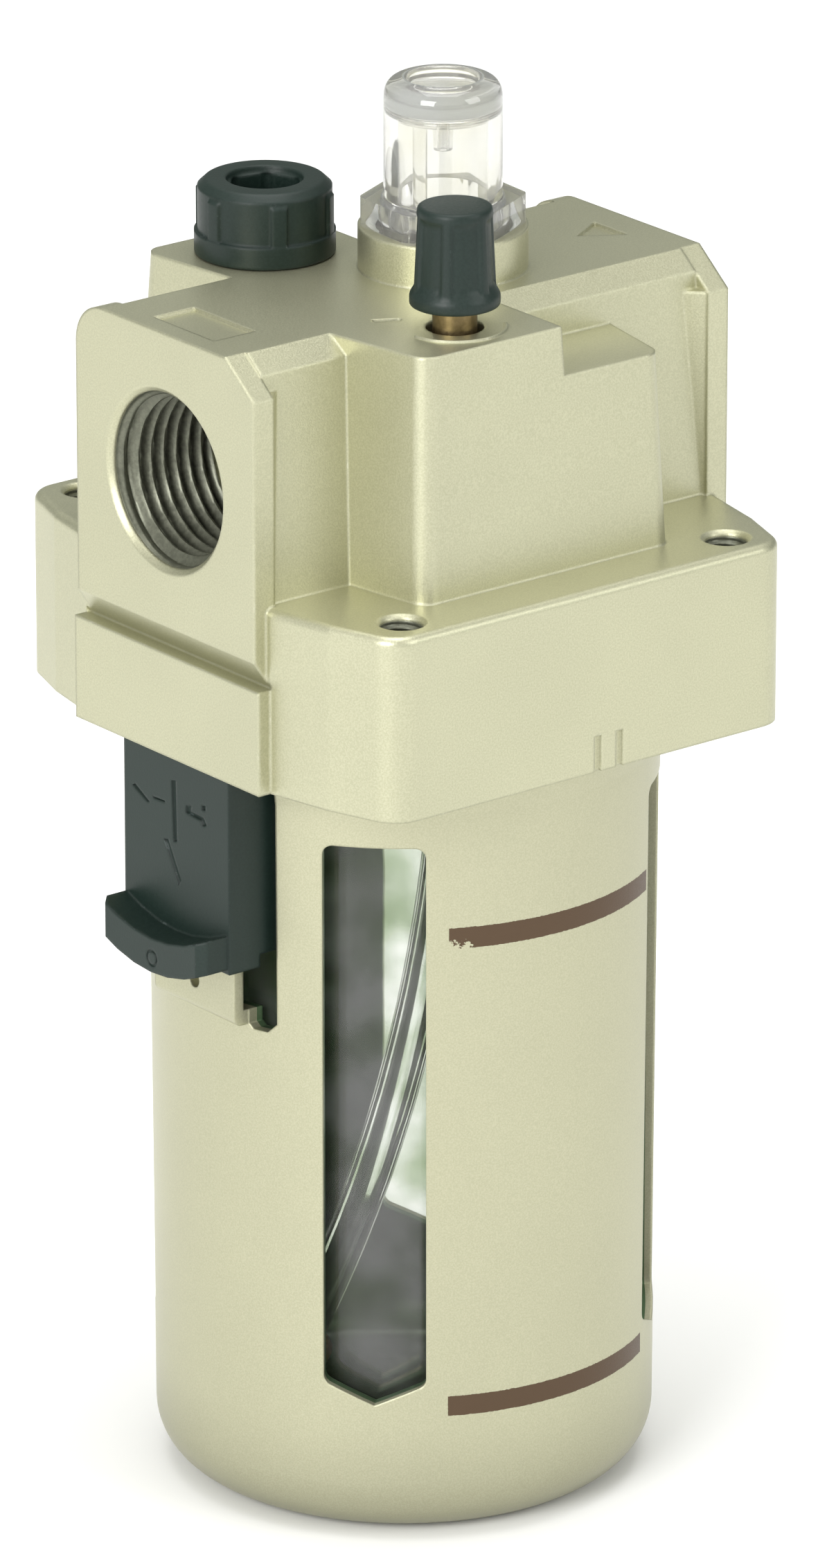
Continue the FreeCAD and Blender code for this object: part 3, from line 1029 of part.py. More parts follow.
def build():
    """Make every sub-part and return them."""
    parts = [cast_body(), sight_dome(), drip_insert(), needle_knob(), fill_plug()]
    parts += needle_parts()
    parts.append(seal_ring("dome_oring", "dome_thread + seal_seat / 2", "dome_seal_wire", "dome_x", "dome_y",
                           COLLAR + " - seal_seat / 2"))
    parts.append(seal_ring("plug_oring", "plug_thread + 0.2", "plug_seal_wire", "plug_x", "plug_y",
                           TOP + " - seal_seat / 2"))
    parts.append(bowl_guard())
    parts.append(inner_bowl())
    parts.append(seal_ring("bowl_oring", "inner_neck_radius + bowl_seal_wire + 0.02", "bowl_seal_wire", "0", "0",
                           LUG_ROOF + " - fit_gap + inner_rim_tall + bowl_seal_wire + 0.15"))
    parts.append(latch_button())
    parts.append(latch_spring())
    parts += siphon_parts()
    parts += flow_parts()
    return parts


def write(parts):
    """Check every object, then write one file for each sub-part."""
    recompute_all()
    for item in parts:
        if item.Shape.isNull() or not item.Shape.isValid() or len(item.Shape.Solids) != 1:
            raise RuntimeError(f"{item.Label} has {len(item.Shape.Solids)} solids")
    os.makedirs("parts", exist_ok=True)
    for item in parts:
        item.Shape.exportStep(f"parts/{item.Label}.step")
        print(f"{item.Label}: {item.Shape.Volume:.0f} cubic mm")


write(build())
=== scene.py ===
"""Looks of the air line lubricator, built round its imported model.

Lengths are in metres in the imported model's frame: the origin is the centre of the bowl
guard's flat base, +X runs from the inlet port to the outlet port and +Z points up.
"""

import logging
import math
from dataclasses import dataclass
from enum import Enum
from functools import cache
from typing import Callable

import bmesh
import bpy
import numpy as np
from mathutils import Matrix, Vector


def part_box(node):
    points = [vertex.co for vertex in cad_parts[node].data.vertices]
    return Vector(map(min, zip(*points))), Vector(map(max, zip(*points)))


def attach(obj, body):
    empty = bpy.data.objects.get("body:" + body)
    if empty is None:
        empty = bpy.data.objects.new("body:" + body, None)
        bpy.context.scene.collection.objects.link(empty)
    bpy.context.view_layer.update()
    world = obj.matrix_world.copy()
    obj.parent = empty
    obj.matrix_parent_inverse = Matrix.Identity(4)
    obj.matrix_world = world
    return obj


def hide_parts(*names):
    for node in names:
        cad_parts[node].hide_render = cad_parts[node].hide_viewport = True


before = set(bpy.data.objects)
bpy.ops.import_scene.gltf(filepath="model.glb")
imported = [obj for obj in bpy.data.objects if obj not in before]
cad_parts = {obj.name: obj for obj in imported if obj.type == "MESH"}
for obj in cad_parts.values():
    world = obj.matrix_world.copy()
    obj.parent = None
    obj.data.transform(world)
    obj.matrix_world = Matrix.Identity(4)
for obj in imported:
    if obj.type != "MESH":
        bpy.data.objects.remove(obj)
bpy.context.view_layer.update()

LOG = logging.getLogger("lubricator")
MM = 0.001
TURN = 2 * math.pi
SHARP_ANGLE = math.radians(32)
CLEAR_SEGMENTS = 192
RIBBED_SEGMENTS = 240
# Points nearer than these are merged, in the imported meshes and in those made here.
PACKED_REACH = 2e-6
MADE_REACH = 1e-7
# A step too small to see, which keeps neighbouring points of an outline apart.
HAIR = 0.01 * MM

Colour = tuple[float, float, float]
Place = tuple[float, float, float]
Span = tuple[float, float]
Socket = bpy.types.NodeSocket


class Body(Enum):
    """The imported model's bodies."""

    HOUSING = "housing"
    NEEDLE_SEAL = "needle_seal"
    NEEDLE = "needle"
    PLUG_SEAL = "plug_seal"
    PLUG = "plug"
    BOWL = "bowl"
    LATCH = "latch"


class Wiring:
    """Adds and links the nodes of one node tree."""

    def __init__(self, tree: bpy.types.NodeTree) -> None:
        """Start with a tree.

        Args:
            tree: the node tree that the nodes are added to.
        """
        self.tree = tree

    @classmethod
    def emptied(cls, owner: bpy.types.Material | bpy.types.World) -> "Wiring":
        """Wiring of a material or world whose own nodes are cleared.

        Args:
            owner: the material or world.
        Returns:
            Wiring of its empty node tree.
        """
        owner.use_nodes = True
        owner.node_tree.nodes.clear()
        return cls(owner.node_tree)

    def feed(self, node: bpy.types.Node, **inputs: object) -> None:
        """Link or set inputs of a node.

        Args:
            node: the node.
            inputs: input sockets by name, with underscores for spaces, or by number as
                in_0; a socket is linked and anything else is its value.
        """
        for name, value in inputs.items():
            key = int(name[3:]) if name.startswith("in_") else name.replace("_", " ")
            if isinstance(value, Socket):
                self.tree.links.new(value, node.inputs[key])
            else:
                node.inputs[key].default_value = value

    def add(self, kind: str, settings: dict | None = None, **inputs: object) -> bpy.types.Node:
        """Add one node.

        Args:
            kind: the node's type without its ShaderNode prefix.
            settings: attributes of the node.
            inputs: input sockets, as feed takes them.
        Returns:
            The new node.
        """
        node = self.tree.nodes.new(kind if kind.startswith("Node") else f"ShaderNode{kind}")
        for attribute, value in (settings or {}).items():
            setattr(node, attribute, value)
        self.feed(node, **inputs)
        return node

    def math(self, operation: str, first: object, second: object = 0.0, clamp: bool = False) -> Socket:
        """The result of one Math node.

        Args:
            operation: the node's operation.
            first: first operand, a socket or a number.
            second: second operand.
            clamp: keep the result between 0 and 1.
        Returns:
            The value.
        """
        settings = {"operation": operation, "use_clamp": clamp}
        return self.add("Math", settings, in_0=first, in_1=second).outputs[0]

    def times(self, first: object, *others: object) -> Socket:
        """The product of two or more values.

        Args:
            first: first factor, a socket or a number.
            others: the other factors.
        Returns:
            The product.
        """
        for other in others:
            first = self.math("MULTIPLY", first, other)
        return first

    def mix(self, share: object, first: object, second: object) -> Socket:
        """A colour between two colours.

        Args:
            share: share of the second colour.
            first: first colour.
            second: second colour.
        Returns:
            The colour.
        """
        node = self.add("Mix", {"data_type": "RGBA"}, in_0=share, in_6=first, in_7=second)
        return node.outputs[2]

    def step(self, value: object, span: Span) -> Socket:
        """A smooth step from 0 at the span's first value to 1 at its second.

        Args:
            value: the value that is read.
            span: the two ends of the step.
        Returns:
            The share between 0 and 1.
        """
        settings = {"interpolation_type": "SMOOTHSTEP"}
        node = self.add("MapRange", settings, Value=value, From_Min=span[0], From_Max=span[1])
        return node.outputs[0]

    def noise(self, where: Socket, scale: object, detail: float = 3.0, rough: float = 0.55) -> Socket:
        """A noise value around 0.5.

        Args:
            where: the place where it is read.
            scale: its scale in 1/m.
            detail: number of finer layers.
            rough: strength of the finer layers.
        Returns:
            The value.
        """
        node = self.add("TexNoise", Vector=where, Scale=scale, Detail=detail, Roughness=rough)
        return node.outputs["Fac"]


def rgba(colour: Colour) -> tuple[float, float, float, float]:
    """The colour with full alpha.

    Args:
        colour: red, green and blue.
    Returns:
        Red, green, blue and 1.
    """
    return (*colour, 1.0)


def new_group(name: str, inputs: dict[str, object], outputs: dict[str, str]
              ) -> tuple[bpy.types.NodeTree, Wiring, dict[str, Socket], bpy.types.Node]:
    """Start a shader node group.

    Args:
        name: the group's name.
        inputs: socket names with their default values, a float or a colour.
        outputs: socket names with their socket types.
    Returns:
        The group, its wiring, its input sockets by name and its output node.
    """
    group = bpy.data.node_groups.new(name, "ShaderNodeTree")
    for label, value in inputs.items():
        kind = "NodeSocketFloat" if isinstance(value, float) else "NodeSocketColor"
        socket = group.interface.new_socket(label, in_out="INPUT", socket_type=kind)
        socket.default_value = value
    for label, kind in outputs.items():
        group.interface.new_socket(label, in_out="OUTPUT", socket_type=kind)
    wiring = Wiring(group)
    entry = wiring.add("NodeGroupInput")
    way_out = wiring.add("NodeGroupOutput")
    return group, wiring, {socket.name: socket for socket in entry.outputs if socket.name}, way_out


@cache
def grain_group() -> bpy.types.NodeTree:
    """Fine grain of paint or moulded plastic: flecked colour, roughness and bumped normal.

    The fleck share is a fine noise, the cloud share a coarse one. Rounded edges come from
    averaging the normal over a small radius, and the edge mask is how far that normal
    turns away from the true one, so chips fall on edges only.

    Returns:
        The node group.
    """
    fleck_step, cloud_step, edge_step, chip_step = (0.38, 0.64), (0.35, 0.7), (0.03, 0.16), (0.6, 0.66)
    cloud_scale, chip_scale = 55.0, 700.0
    cloud_value, rough_swing, grain_height = 0.86, 0.25, 0.12 * MM
    group, wires, given, way_out = new_group(
        "surface_grain",
        {"Colour": (0.5, 0.5, 0.5, 1), "Fleck": (0.6, 0.6, 0.6, 1), "Chip": (0.7, 0.7, 0.7, 1),
         "Grain Scale": 2500.0, "Grain Share": 0.5, "Cloud Share": 0.2, "Bump": 0.2,
         "Roughness": 0.4, "Edge": 0.0004, "Chips": 0.3},
        {"Colour": "NodeSocketColor", "Roughness": "NodeSocketFloat", "Normal": "NodeSocketVector"})
    where = wires.add("TexCoord").outputs["Object"]

    fine = wires.noise(where, given["Grain Scale"], detail=4.0, rough=0.65)
    cloud = wires.noise(where, cloud_scale, detail=2.0, rough=0.5)
    fleck = wires.times(wires.step(fine, fleck_step), given["Grain Share"])
    dull = wires.times(wires.step(cloud, cloud_step), given["Cloud Share"])
    colour = wires.mix(fleck, given["Colour"], given["Fleck"])
    darker = wires.add("HueSaturation", Value=cloud_value, Color=colour).outputs[0]
    colour = wires.mix(dull, colour, darker)

    soft = wires.add("Bevel", {"samples": 6}, Radius=given["Edge"]).outputs[0]
    true = wires.add("NewGeometry").outputs["Normal"]
    turn = wires.add("VectorMath", {"operation": "DOT_PRODUCT"}, in_0=soft, in_1=true).outputs["Value"]
    edge = wires.step(wires.math("SUBTRACT", 1.0, turn), edge_step)
    spots = wires.step(wires.noise(where, chip_scale, detail=4.0, rough=0.7), chip_step)
    colour = wires.mix(wires.times(edge, spots, given["Chips"]), colour, given["Chip"])

    swing = wires.times(wires.math("SUBTRACT", fine, 0.5), rough_swing)
    rough = wires.math("ADD", given["Roughness"], swing)
    bump = wires.add("Bump", Strength=given["Bump"], Distance=grain_height, Height=fine, Normal=soft)
    wires.feed(way_out, Colour=colour, Roughness=rough, Normal=bump.outputs[0])
    return group


@cache
def band_group() -> bpy.types.NodeTree:
    """A printed band on an upright cylinder: 1 inside it, with ragged edges and worn spots.

    The band's place is an angle about Z from Start to End and a height from Low to High;
    both are disturbed by a fine noise, and spots wear away near the start, most of all
    towards the lower edge.

    Returns:
        The node group.
    """
    ragged_scale, ragged_angle, ragged_height = 2600.0, 0.004, 0.2 * MM
    spot_scale, spot_limit = 900.0, 0.78
    start_fall, low_rise, low_share = 5.0, 700.0, 0.35
    group, wires, given, way_out = new_group(
        "printed_band", {"Start": 0.0, "End": 1.0, "Low": 0.0, "High": 0.1, "Wear": 0.5},
        {"Mask": "NodeSocketFloat"})
    where = wires.add("TexCoord").outputs["Object"]
    axis = wires.add("SeparateXYZ", Vector=where)

    ragged = wires.math("SUBTRACT", wires.noise(where, ragged_scale, detail=2.0), 0.5)
    angle = wires.math("ARCTAN2", axis.outputs["Y"], axis.outputs["X"])
    angle = wires.math("ADD", angle, wires.times(ragged, ragged_angle))
    height = wires.math("ADD", axis.outputs["Z"], wires.times(ragged, ragged_height))
    inside = wires.times(wires.math("GREATER_THAN", angle, given["Start"]),
                         wires.math("LESS_THAN", angle, given["End"]),
                         wires.math("GREATER_THAN", height, given["Low"]),
                         wires.math("LESS_THAN", height, given["High"]))

    beyond = wires.times(wires.math("SUBTRACT", angle, given["Start"]), start_fall)
    near = wires.math("SUBTRACT", 1.0, beyond, clamp=True)
    fall = wires.times(wires.math("SUBTRACT", given["High"], height), low_rise)
    below = wires.math("SUBTRACT", fall, low_share)
    worn = wires.times(near, below, given["Wear"])
    patches = wires.math("ADD", wires.noise(where, spot_scale, detail=4.0, rough=0.7), worn)
    spots = wires.math("GREATER_THAN", patches, spot_limit)
    wires.feed(way_out, Mask=wires.times(inside, wires.math("SUBTRACT", 1.0, spots)))
    return group


@dataclass(frozen=True)
class Finish:
    """A named surface finish."""

    name: str

    def material(self) -> bpy.types.Material:
        """The finish as a material, made once.

        Returns:
            The material.
        """
        made = bpy.data.materials.get(self.name)
        if made is None:
            made = bpy.data.materials.new(self.name)
            wires = Wiring.emptied(made)
            wires.add("OutputMaterial", Surface=self.shader(wires))
        return made

    def shader(self, wires: Wiring) -> Socket:
        """The finish's shader, which each kind of finish gives.

        Args:
            wires: wiring of the material.
        Returns:
            The shader.
        """
        raise NotImplementedError


@dataclass(frozen=True)
class Grained(Finish):
    """A finish with fine grain: paint, moulded plastic, rubber or turned metal."""

    colour: Colour
    fleck: Colour
    roughness: float
    metallic: float = 0.0
    grain_scale: float = 2500.0
    grain_share: float = 0.5
    cloud_share: float = 0.2
    bump: float = 0.2
    edge: float = 0.4 * MM
    chip: Colour = (0.75, 0.73, 0.62)
    chips: float = 0.0
    specular: float = 0.5

    def shader(self, wires: Wiring) -> Socket:
        """The grained shader.

        Args:
            wires: wiring of the material.
        Returns:
            The shader.
        """
        grain = wires.add("Group", {"node_tree": grain_group()}, Colour=rgba(self.colour),
                          Fleck=rgba(self.fleck), Chip=rgba(self.chip), Grain_Scale=self.grain_scale,
                          Grain_Share=self.grain_share, Cloud_Share=self.cloud_share, Bump=self.bump,
                          Roughness=self.roughness, Edge=self.edge, Chips=self.chips)
        colour = self.printed(wires, grain.outputs["Colour"])
        shader = wires.add("BsdfPrincipled", Base_Color=colour, Roughness=grain.outputs["Roughness"],
                           Metallic=self.metallic, Normal=grain.outputs["Normal"],
                           Specular_IOR_Level=self.specular)
        return shader.outputs[0]

    def printed(self, wires: Wiring, colour: Socket) -> Socket:
        """The colour with any print on top; a plain finish has none.

        Args:
            wires: wiring of the material.
            colour: the finish's own colour.
        Returns:
            The colour that is seen.
        """
        return colour


@dataclass(frozen=True)
class BandedPaint(Grained):
    """Guard paint with two plain level bands, painted shade darkening its foot and a dark inner face."""

    ink: Colour = (0.10, 0.065, 0.04)
    start: float = math.radians(-118.3)
    end: float = math.radians(-57.6)
    upper: Span = (74.8 * MM, 77.4 * MM)
    lower: Span = (16.0 * MM, 18.5 * MM)
    upper_wear: float = 0.32
    lower_wear: float = 0.08
    # Painted shade at the guard's foot: the height where the darkening starts and the value the paint is
    # scaled by at the base.
    painted_shade_top: float = 16.0 * MM
    painted_shade_value: float = 0.72
    inside: Colour = (0.10, 0.165, 0.085)
    inside_radius: float = 28.9 * MM
    foot_round: float = 6.8 * MM
    foot_wall: float = 0.7 * MM

    def printed(self, wires: Wiring, colour: Socket) -> Socket:
        """The paint's colour with bands, painted shade towards the foot and the inner face on top.

        Args:
            wires: wiring of the material.
            colour: the plain paint's colour.
        Returns:
            The colour that is seen.
        """
        for (low, high), wear in ((self.upper, self.upper_wear), (self.lower, self.lower_wear)):
            band = wires.add("Group", {"node_tree": band_group()}, Start=self.start, End=self.end,
                             Low=low, High=high, Wear=wear)
            colour = wires.mix(band.outputs["Mask"], colour, rgba(self.ink))
        where = wires.add("TexCoord").outputs["Object"]
        height = wires.add("SeparateXYZ", Vector=where).outputs["Z"]
        # Painted shade: the paint grows darker from the given height down to the base of the guard.
        painted_shade_colour = wires.add("HueSaturation", Value=self.painted_shade_value, Color=colour).outputs[0]
        colour = wires.mix(wires.step(height, (self.painted_shade_top, 0.0)), colour, painted_shade_colour)
        return wires.mix(self.inner_face(wires, where, height), colour, rgba(self.inside))

    def inner_face(self, wires: Wiring, where: Socket, height: Socket) -> Socket:
        """Mask of the guard's inner face.

        At depth d below the top of the foot's rounding the wall is drawn in by the dip
        R - sqrt(R R - d d), with R the rounding. A point above the floor belongs to the inner
        face where its distance from the axis plus the dip is under inside_radius.

        Args:
            wires: wiring of the material.
            where: the point.
            height: its height.
        Returns:
            1 on the inner face and 0 elsewhere.
        """
        flat = wires.add("VectorMath", {"operation": "MULTIPLY"}, in_0=where, in_1=(1.0, 1.0, 0.0))
        radius = wires.add("VectorMath", {"operation": "LENGTH"}, in_0=flat.outputs[0]).outputs["Value"]
        depth = wires.math("MAXIMUM", wires.math("SUBTRACT", self.foot_round, height), 0.0)
        square = wires.math("SUBTRACT", self.foot_round ** 2, wires.times(depth, depth))
        arc = wires.math("SQRT", wires.math("MAXIMUM", square, 0.0))
        dip = wires.math("SUBTRACT", self.foot_round, arc)
        bare = wires.math("LESS_THAN", wires.math("ADD", radius, dip), self.inside_radius)
        return wires.times(bare, wires.math("GREATER_THAN", height, self.foot_wall))


@dataclass(frozen=True)
class Clear(Finish):
    """Clear plastic with a faint tint that comes and goes, and a slight ripple."""

    tint: Colour
    ior: float = 1.57
    roughness: float = 0.015
    ripple: float = 0.05
    clearness: float = 1.0
    flow_scale: float = 140.0
    flow_step: Span = (0.3, 0.7)
    ripple_height: float = 0.2 * MM

    def shader(self, wires: Wiring) -> Socket:
        """The clear shader.

        Args:
            wires: wiring of the material.
        Returns:
            The shader.
        """
        where = wires.add("TexCoord").outputs["Object"]
        flow = wires.noise(where, self.flow_scale, detail=2.0, rough=0.4)
        tint = wires.mix(wires.step(flow, self.flow_step), rgba(self.tint), (1.0, 1.0, 1.0, 1.0))
        bump = wires.add("Bump", Strength=self.ripple, Distance=self.ripple_height, Height=flow)
        shader = wires.add("BsdfPrincipled", Base_Color=tint, Roughness=self.roughness, IOR=self.ior,
                           Transmission_Weight=self.clearness, Normal=bump.outputs[0])
        return shader.outputs[0]


CAST = Grained("cast_paint", colour=(0.475, 0.47, 0.325), fleck=(0.63, 0.62, 0.45), roughness=0.35,
               metallic=0.78, grain_scale=4600.0, cloud_share=0.25, bump=0.26, edge=0.55 * MM,
               chip=(0.74, 0.73, 0.60), chips=0.5)
GUARD = BandedPaint("guard_paint", colour=(0.44, 0.432, 0.30), fleck=(0.575, 0.565, 0.405), roughness=0.36,
                    metallic=0.75, grain_scale=5200.0, grain_share=0.45, bump=0.18, edge=0.35 * MM,
                    chip=(0.74, 0.73, 0.60), chips=0.2)
BARE_CAST = Grained("bare_cast", colour=(0.13, 0.135, 0.10), fleck=(0.22, 0.225, 0.17), roughness=0.36,
                    metallic=0.6, grain_scale=1800.0, cloud_share=0.3, bump=0.15, edge=0.1 * MM)
BLACK = Grained("slate_plastic", colour=(0.008, 0.018, 0.014), fleck=(0.014, 0.027, 0.022), roughness=0.42,
                grain_scale=3000.0, cloud_share=0.4, bump=0.12, edge=0.5 * MM,
                chip=(0.14, 0.17, 0.17), chips=0.35, specular=0.35)
RUBBER = Grained("nitrile", colour=(0.018, 0.018, 0.018), fleck=(0.03, 0.03, 0.03), roughness=0.6,
                 grain_share=0.4, cloud_share=0.3, bump=0.15, edge=0.2 * MM)
BRASS = Grained("turned_brass", colour=(0.24, 0.18, 0.09), fleck=(0.36, 0.27, 0.14), roughness=0.40,
                metallic=1.0, grain_scale=1800.0, grain_share=0.4, cloud_share=0.3, bump=0.1, edge=0.2 * MM)
STEEL = Grained("bright_steel", colour=(0.50, 0.50, 0.49), fleck=(0.62, 0.62, 0.60), roughness=0.28,
                metallic=1.0, grain_scale=2000.0, grain_share=0.4, bump=0.05, edge=0.1 * MM)
BRONZE = Grained("sintered_bronze", colour=(0.36, 0.25, 0.13), fleck=(0.55, 0.40, 0.22), roughness=0.55,
                 metallic=0.8, grain_scale=1300.0, grain_share=0.9, cloud_share=0.3, bump=0.9, edge=0.2 * MM)
NATURAL = Grained("natural_plastic", colour=(0.62, 0.63, 0.58), fleck=(0.70, 0.71, 0.67), roughness=0.45,
                  grain_scale=2000.0, grain_share=0.4, cloud_share=0.3, bump=0.08, edge=0.2 * MM)
CLEAR_DOME = Clear("dome_polycarbonate", tint=(0.95, 0.94, 0.86), roughness=0.04, clearness=0.88)
CLEAR_BOWL = Clear("bowl_polycarbonate", tint=(0.44, 0.52, 0.37), ior=1.46, ripple=0.12, clearness=0.96)
CLEAR_TUBE = Clear("tube_plastic", tint=(0.93, 0.95, 0.93), ior=1.42, roughness=0.03, ripple=0.1)


def add_mesh(name: str, points: np.ndarray, faces: np.ndarray) -> bpy.types.Object:
    """Make an object from quads, with doubles merged, normals outwards and smooth shading.

    Args:
        name: the piece's name.
        points: (n, 3) places in metres.
        faces: (m, 4) indices of points.
    Returns:
        The new object at the origin.
    """
    mesh = bpy.data.meshes.new(name)
    mesh.vertices.add(len(points))
    mesh.vertices.foreach_set("co", points.astype(np.float32).ravel())
    mesh.loops.add(faces.size)
    mesh.loops.foreach_set("vertex_index", faces.astype(np.int32).ravel())
    mesh.polygons.add(len(faces))
    mesh.polygons.foreach_set("loop_start", np.arange(0, faces.size, 4, dtype=np.int32))
    mesh.update(calc_edges=True)
    tidy_mesh(mesh)
    return add_object(name, mesh)


def add_object(name: str, data: bpy.types.ID) -> bpy.types.Object:
    """Put a mesh, light or camera into the scene.

    Args:
        name: the object's name.
        data: what it shows.
    Returns:
        The new object at the origin.
    """
    made = bpy.data.objects.new(name, data)
    bpy.context.scene.collection.objects.link(made)
    return made


def tidy_mesh(mesh: bpy.types.Mesh) -> None:
    """Merge doubles, point faces outwards and shade smoothly between sharp edges.

    Args:
        mesh: the mesh that is changed.
    """
    work = bmesh.new()
    work.from_mesh(mesh)
    bmesh.ops.remove_doubles(work, verts=work.verts, dist=MADE_REACH)
    bmesh.ops.dissolve_degenerate(work, edges=work.edges, dist=MADE_REACH)
    bmesh.ops.recalc_face_normals(work, faces=work.faces)
    if work.calc_volume(signed=True) < 0:
        bmesh.ops.reverse_faces(work, faces=work.faces)
    work.to_mesh(mesh)
    work.free()
    mesh.polygons.foreach_set("use_smooth", np.ones(len(mesh.polygons), dtype=bool))
    mesh.set_sharp_from_angle(angle=SHARP_ANGLE)
    mesh.update()


def merge_keeping_normals(mesh: bpy.types.Mesh) -> None:
    """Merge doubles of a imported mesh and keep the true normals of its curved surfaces.

    The normals ride through the merge as a corner attribute and are set again afterwards.

    Args:
        mesh: the mesh that is changed.
    """
    normals = np.empty(len(mesh.loops) * 3, dtype=np.float32)
    mesh.corner_normals.foreach_get("vector", normals)
    mesh.attributes.remove(mesh.attributes["custom_normal"])
    mesh.attributes.new("true_normal", "FLOAT_VECTOR", "CORNER").data.foreach_set("vector", normals)
    work = bmesh.new()
    work.from_mesh(mesh)
    bmesh.ops.remove_doubles(work, verts=work.verts, dist=PACKED_REACH)
    work.to_mesh(mesh)
    work.free()
    normals = np.empty(len(mesh.loops) * 3, dtype=np.float32)
    kept = mesh.attributes["true_normal"]
    kept.data.foreach_get("vector", normals)
    mesh.attributes.remove(kept)
    mesh.polygons.foreach_set("use_smooth", np.ones(len(mesh.polygons), dtype=bool))
    mesh.normals_split_custom_set(normals.reshape(-1, 3))


def grid_faces(rows: int, columns: int, close_rows: bool, close_columns: bool) -> np.ndarray:
    """Quads of a grid of points numbered row by row.

    Args:
        rows: number of rows.
        columns: number of columns.
        close_rows: join the last row to the first.
        close_columns: join the last column to the first.
    Returns:
        (m, 4) indices.
    """
    row = np.arange(rows if close_rows else rows - 1)[:, None]
    column = np.arange(columns if close_columns else columns - 1)[None, :]
    after = (row + 1) % rows
    beside = (column + 1) % columns
    quads = np.stack(np.broadcast_arrays(row * columns + column, row * columns + beside,
                                         after * columns + beside, after * columns + column), axis=-1)
    return quads.reshape(-1, 4)


def rounded(corners: list[tuple[float, float, float]], steps: int) -> np.ndarray:
    """A polyline with rounded corners.

    Each corner (radius from the axis, height, rounding) gives points on the quadratic curve
    whose ends lie on its two sides, a rounding away, and whose control point is the corner.

    Args:
        corners: (r, z, rounding) of each corner in turn.
        steps: spans of each rounded corner.
    Returns:
        (n, 2) points of the outline.
    """
    places = np.array([corner[:2] for corner in corners], dtype=float)
    share = np.linspace(0.0, 1.0, steps + 1)[:, None]
    pieces = []
    for index, (_, _, rounding) in enumerate(corners):
        here = places[index]
        if rounding <= 0 or index in (0, len(corners) - 1):
            pieces.append(here[None, :])
            continue
        before, after = places[index - 1] - here, places[index + 1] - here
        start = here + before / np.linalg.norm(before) * rounding
        end = here + after / np.linalg.norm(after) * rounding
        pieces.append((1 - share) ** 2 * start + 2 * share * (1 - share) * here + share ** 2 * end)
    return np.concatenate(pieces)


def turned(name: str, outline: np.ndarray, centre: Vector, segments: int,
           shape: Callable[[np.ndarray, np.ndarray, np.ndarray], np.ndarray] | None = None,
           first: float = 0.0) -> bpy.types.Object:
    """A turned piece: an outline that runs from axis to axis, carried round an upright axis.

    A point at angle a is (r cos a, r sin a, z) from the centre. A shape rule may change r.

    Args:
        name: the piece's name.
        outline: (n, 2) radius and height of the outline.
        centre: a point on the axis; heights count from it.
        segments: number of angles.
        shape: gives the radius from the radius, height and angle arrays.
        first: the first angle in radians.
    Returns:
        The new object.
    """
    angle = first + np.linspace(0.0, TURN, segments, endpoint=False)[None, :]
    radius = outline[:, :1] + 0 * angle
    height = outline[:, 1:] + 0 * angle
    angle = angle + 0 * radius
    if shape:
        radius = shape(radius, height, angle)
    points = np.stack([centre.x + radius * np.cos(angle), centre.y + radius * np.sin(angle),
                       centre.z + height], axis=-1)
    return add_mesh(name, points.reshape(-1, 3), grid_faces(len(outline), segments, False, True))


def smooth_step(value: np.ndarray) -> np.ndarray:
    """A smooth step: 3 v v - 2 v v v of the value v cut to 0 and 1.

    Args:
        value: the values.
    Returns:
        The steps.
    """
    cut = np.clip(value, 0.0, 1.0)
    return cut * cut * (3 - 2 * cut)


def angle_from_rib(angle: np.ndarray, first: float, ribs: int) -> np.ndarray:
    """How far an angle is from the nearest of some evenly spaced ribs.

    Args:
        angle: angles in radians.
        first: angle of the first rib.
        ribs: number of ribs.
    Returns:
        Angles of 0 or more.
    """
    pitch = TURN / ribs
    return np.abs((angle - first + pitch / 2) % pitch - pitch / 2)


def angle_from_flat(angle: np.ndarray, first: float) -> np.ndarray:
    """The angle from the middle of the nearest flat of a hexagon.

    Args:
        angle: angles in radians.
        first: angle of one corner.
    Returns:
        Angles between -30 and 30 degrees.
    """
    return (angle - first) % (TURN / 6) - TURN / 12


def place(piece: bpy.types.Object, body: Body, finish: Finish, slot: str, *nodes: str) -> None:
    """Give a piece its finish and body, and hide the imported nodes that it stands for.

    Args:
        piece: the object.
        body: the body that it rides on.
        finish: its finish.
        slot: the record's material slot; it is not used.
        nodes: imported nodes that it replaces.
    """
    piece.data.materials.clear()
    piece.data.materials.append(finish.material())
    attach(piece, body.value)
    if nodes:
        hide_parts(*nodes)
    LOG.info("%s: %d faces on %s", piece.name, len(piece.data.polygons), body.value)


def smooth_copy(node: str, body: Body, finish: Finish, slot: str) -> None:
    """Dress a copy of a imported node, with merged points and smooth normals, in its place.

    Args:
        node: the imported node.
        body: the body that it rides on.
        finish: its finish.
        slot: the record's material slot.
    """
    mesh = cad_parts[node].data.copy()
    mesh.name = f"{node}_skin"
    merge_keeping_normals(mesh)
    place(add_object(mesh.name, mesh), body, finish, slot, node)


def axis_of(node: str, height: float) -> Vector:
    """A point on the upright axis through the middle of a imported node's box.

    Args:
        node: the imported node.
        height: the point's height.
    Returns:
        The point.
    """
    low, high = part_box(node)
    return Vector(((low.x + high.x) / 2, (low.y + high.y) / 2, height))


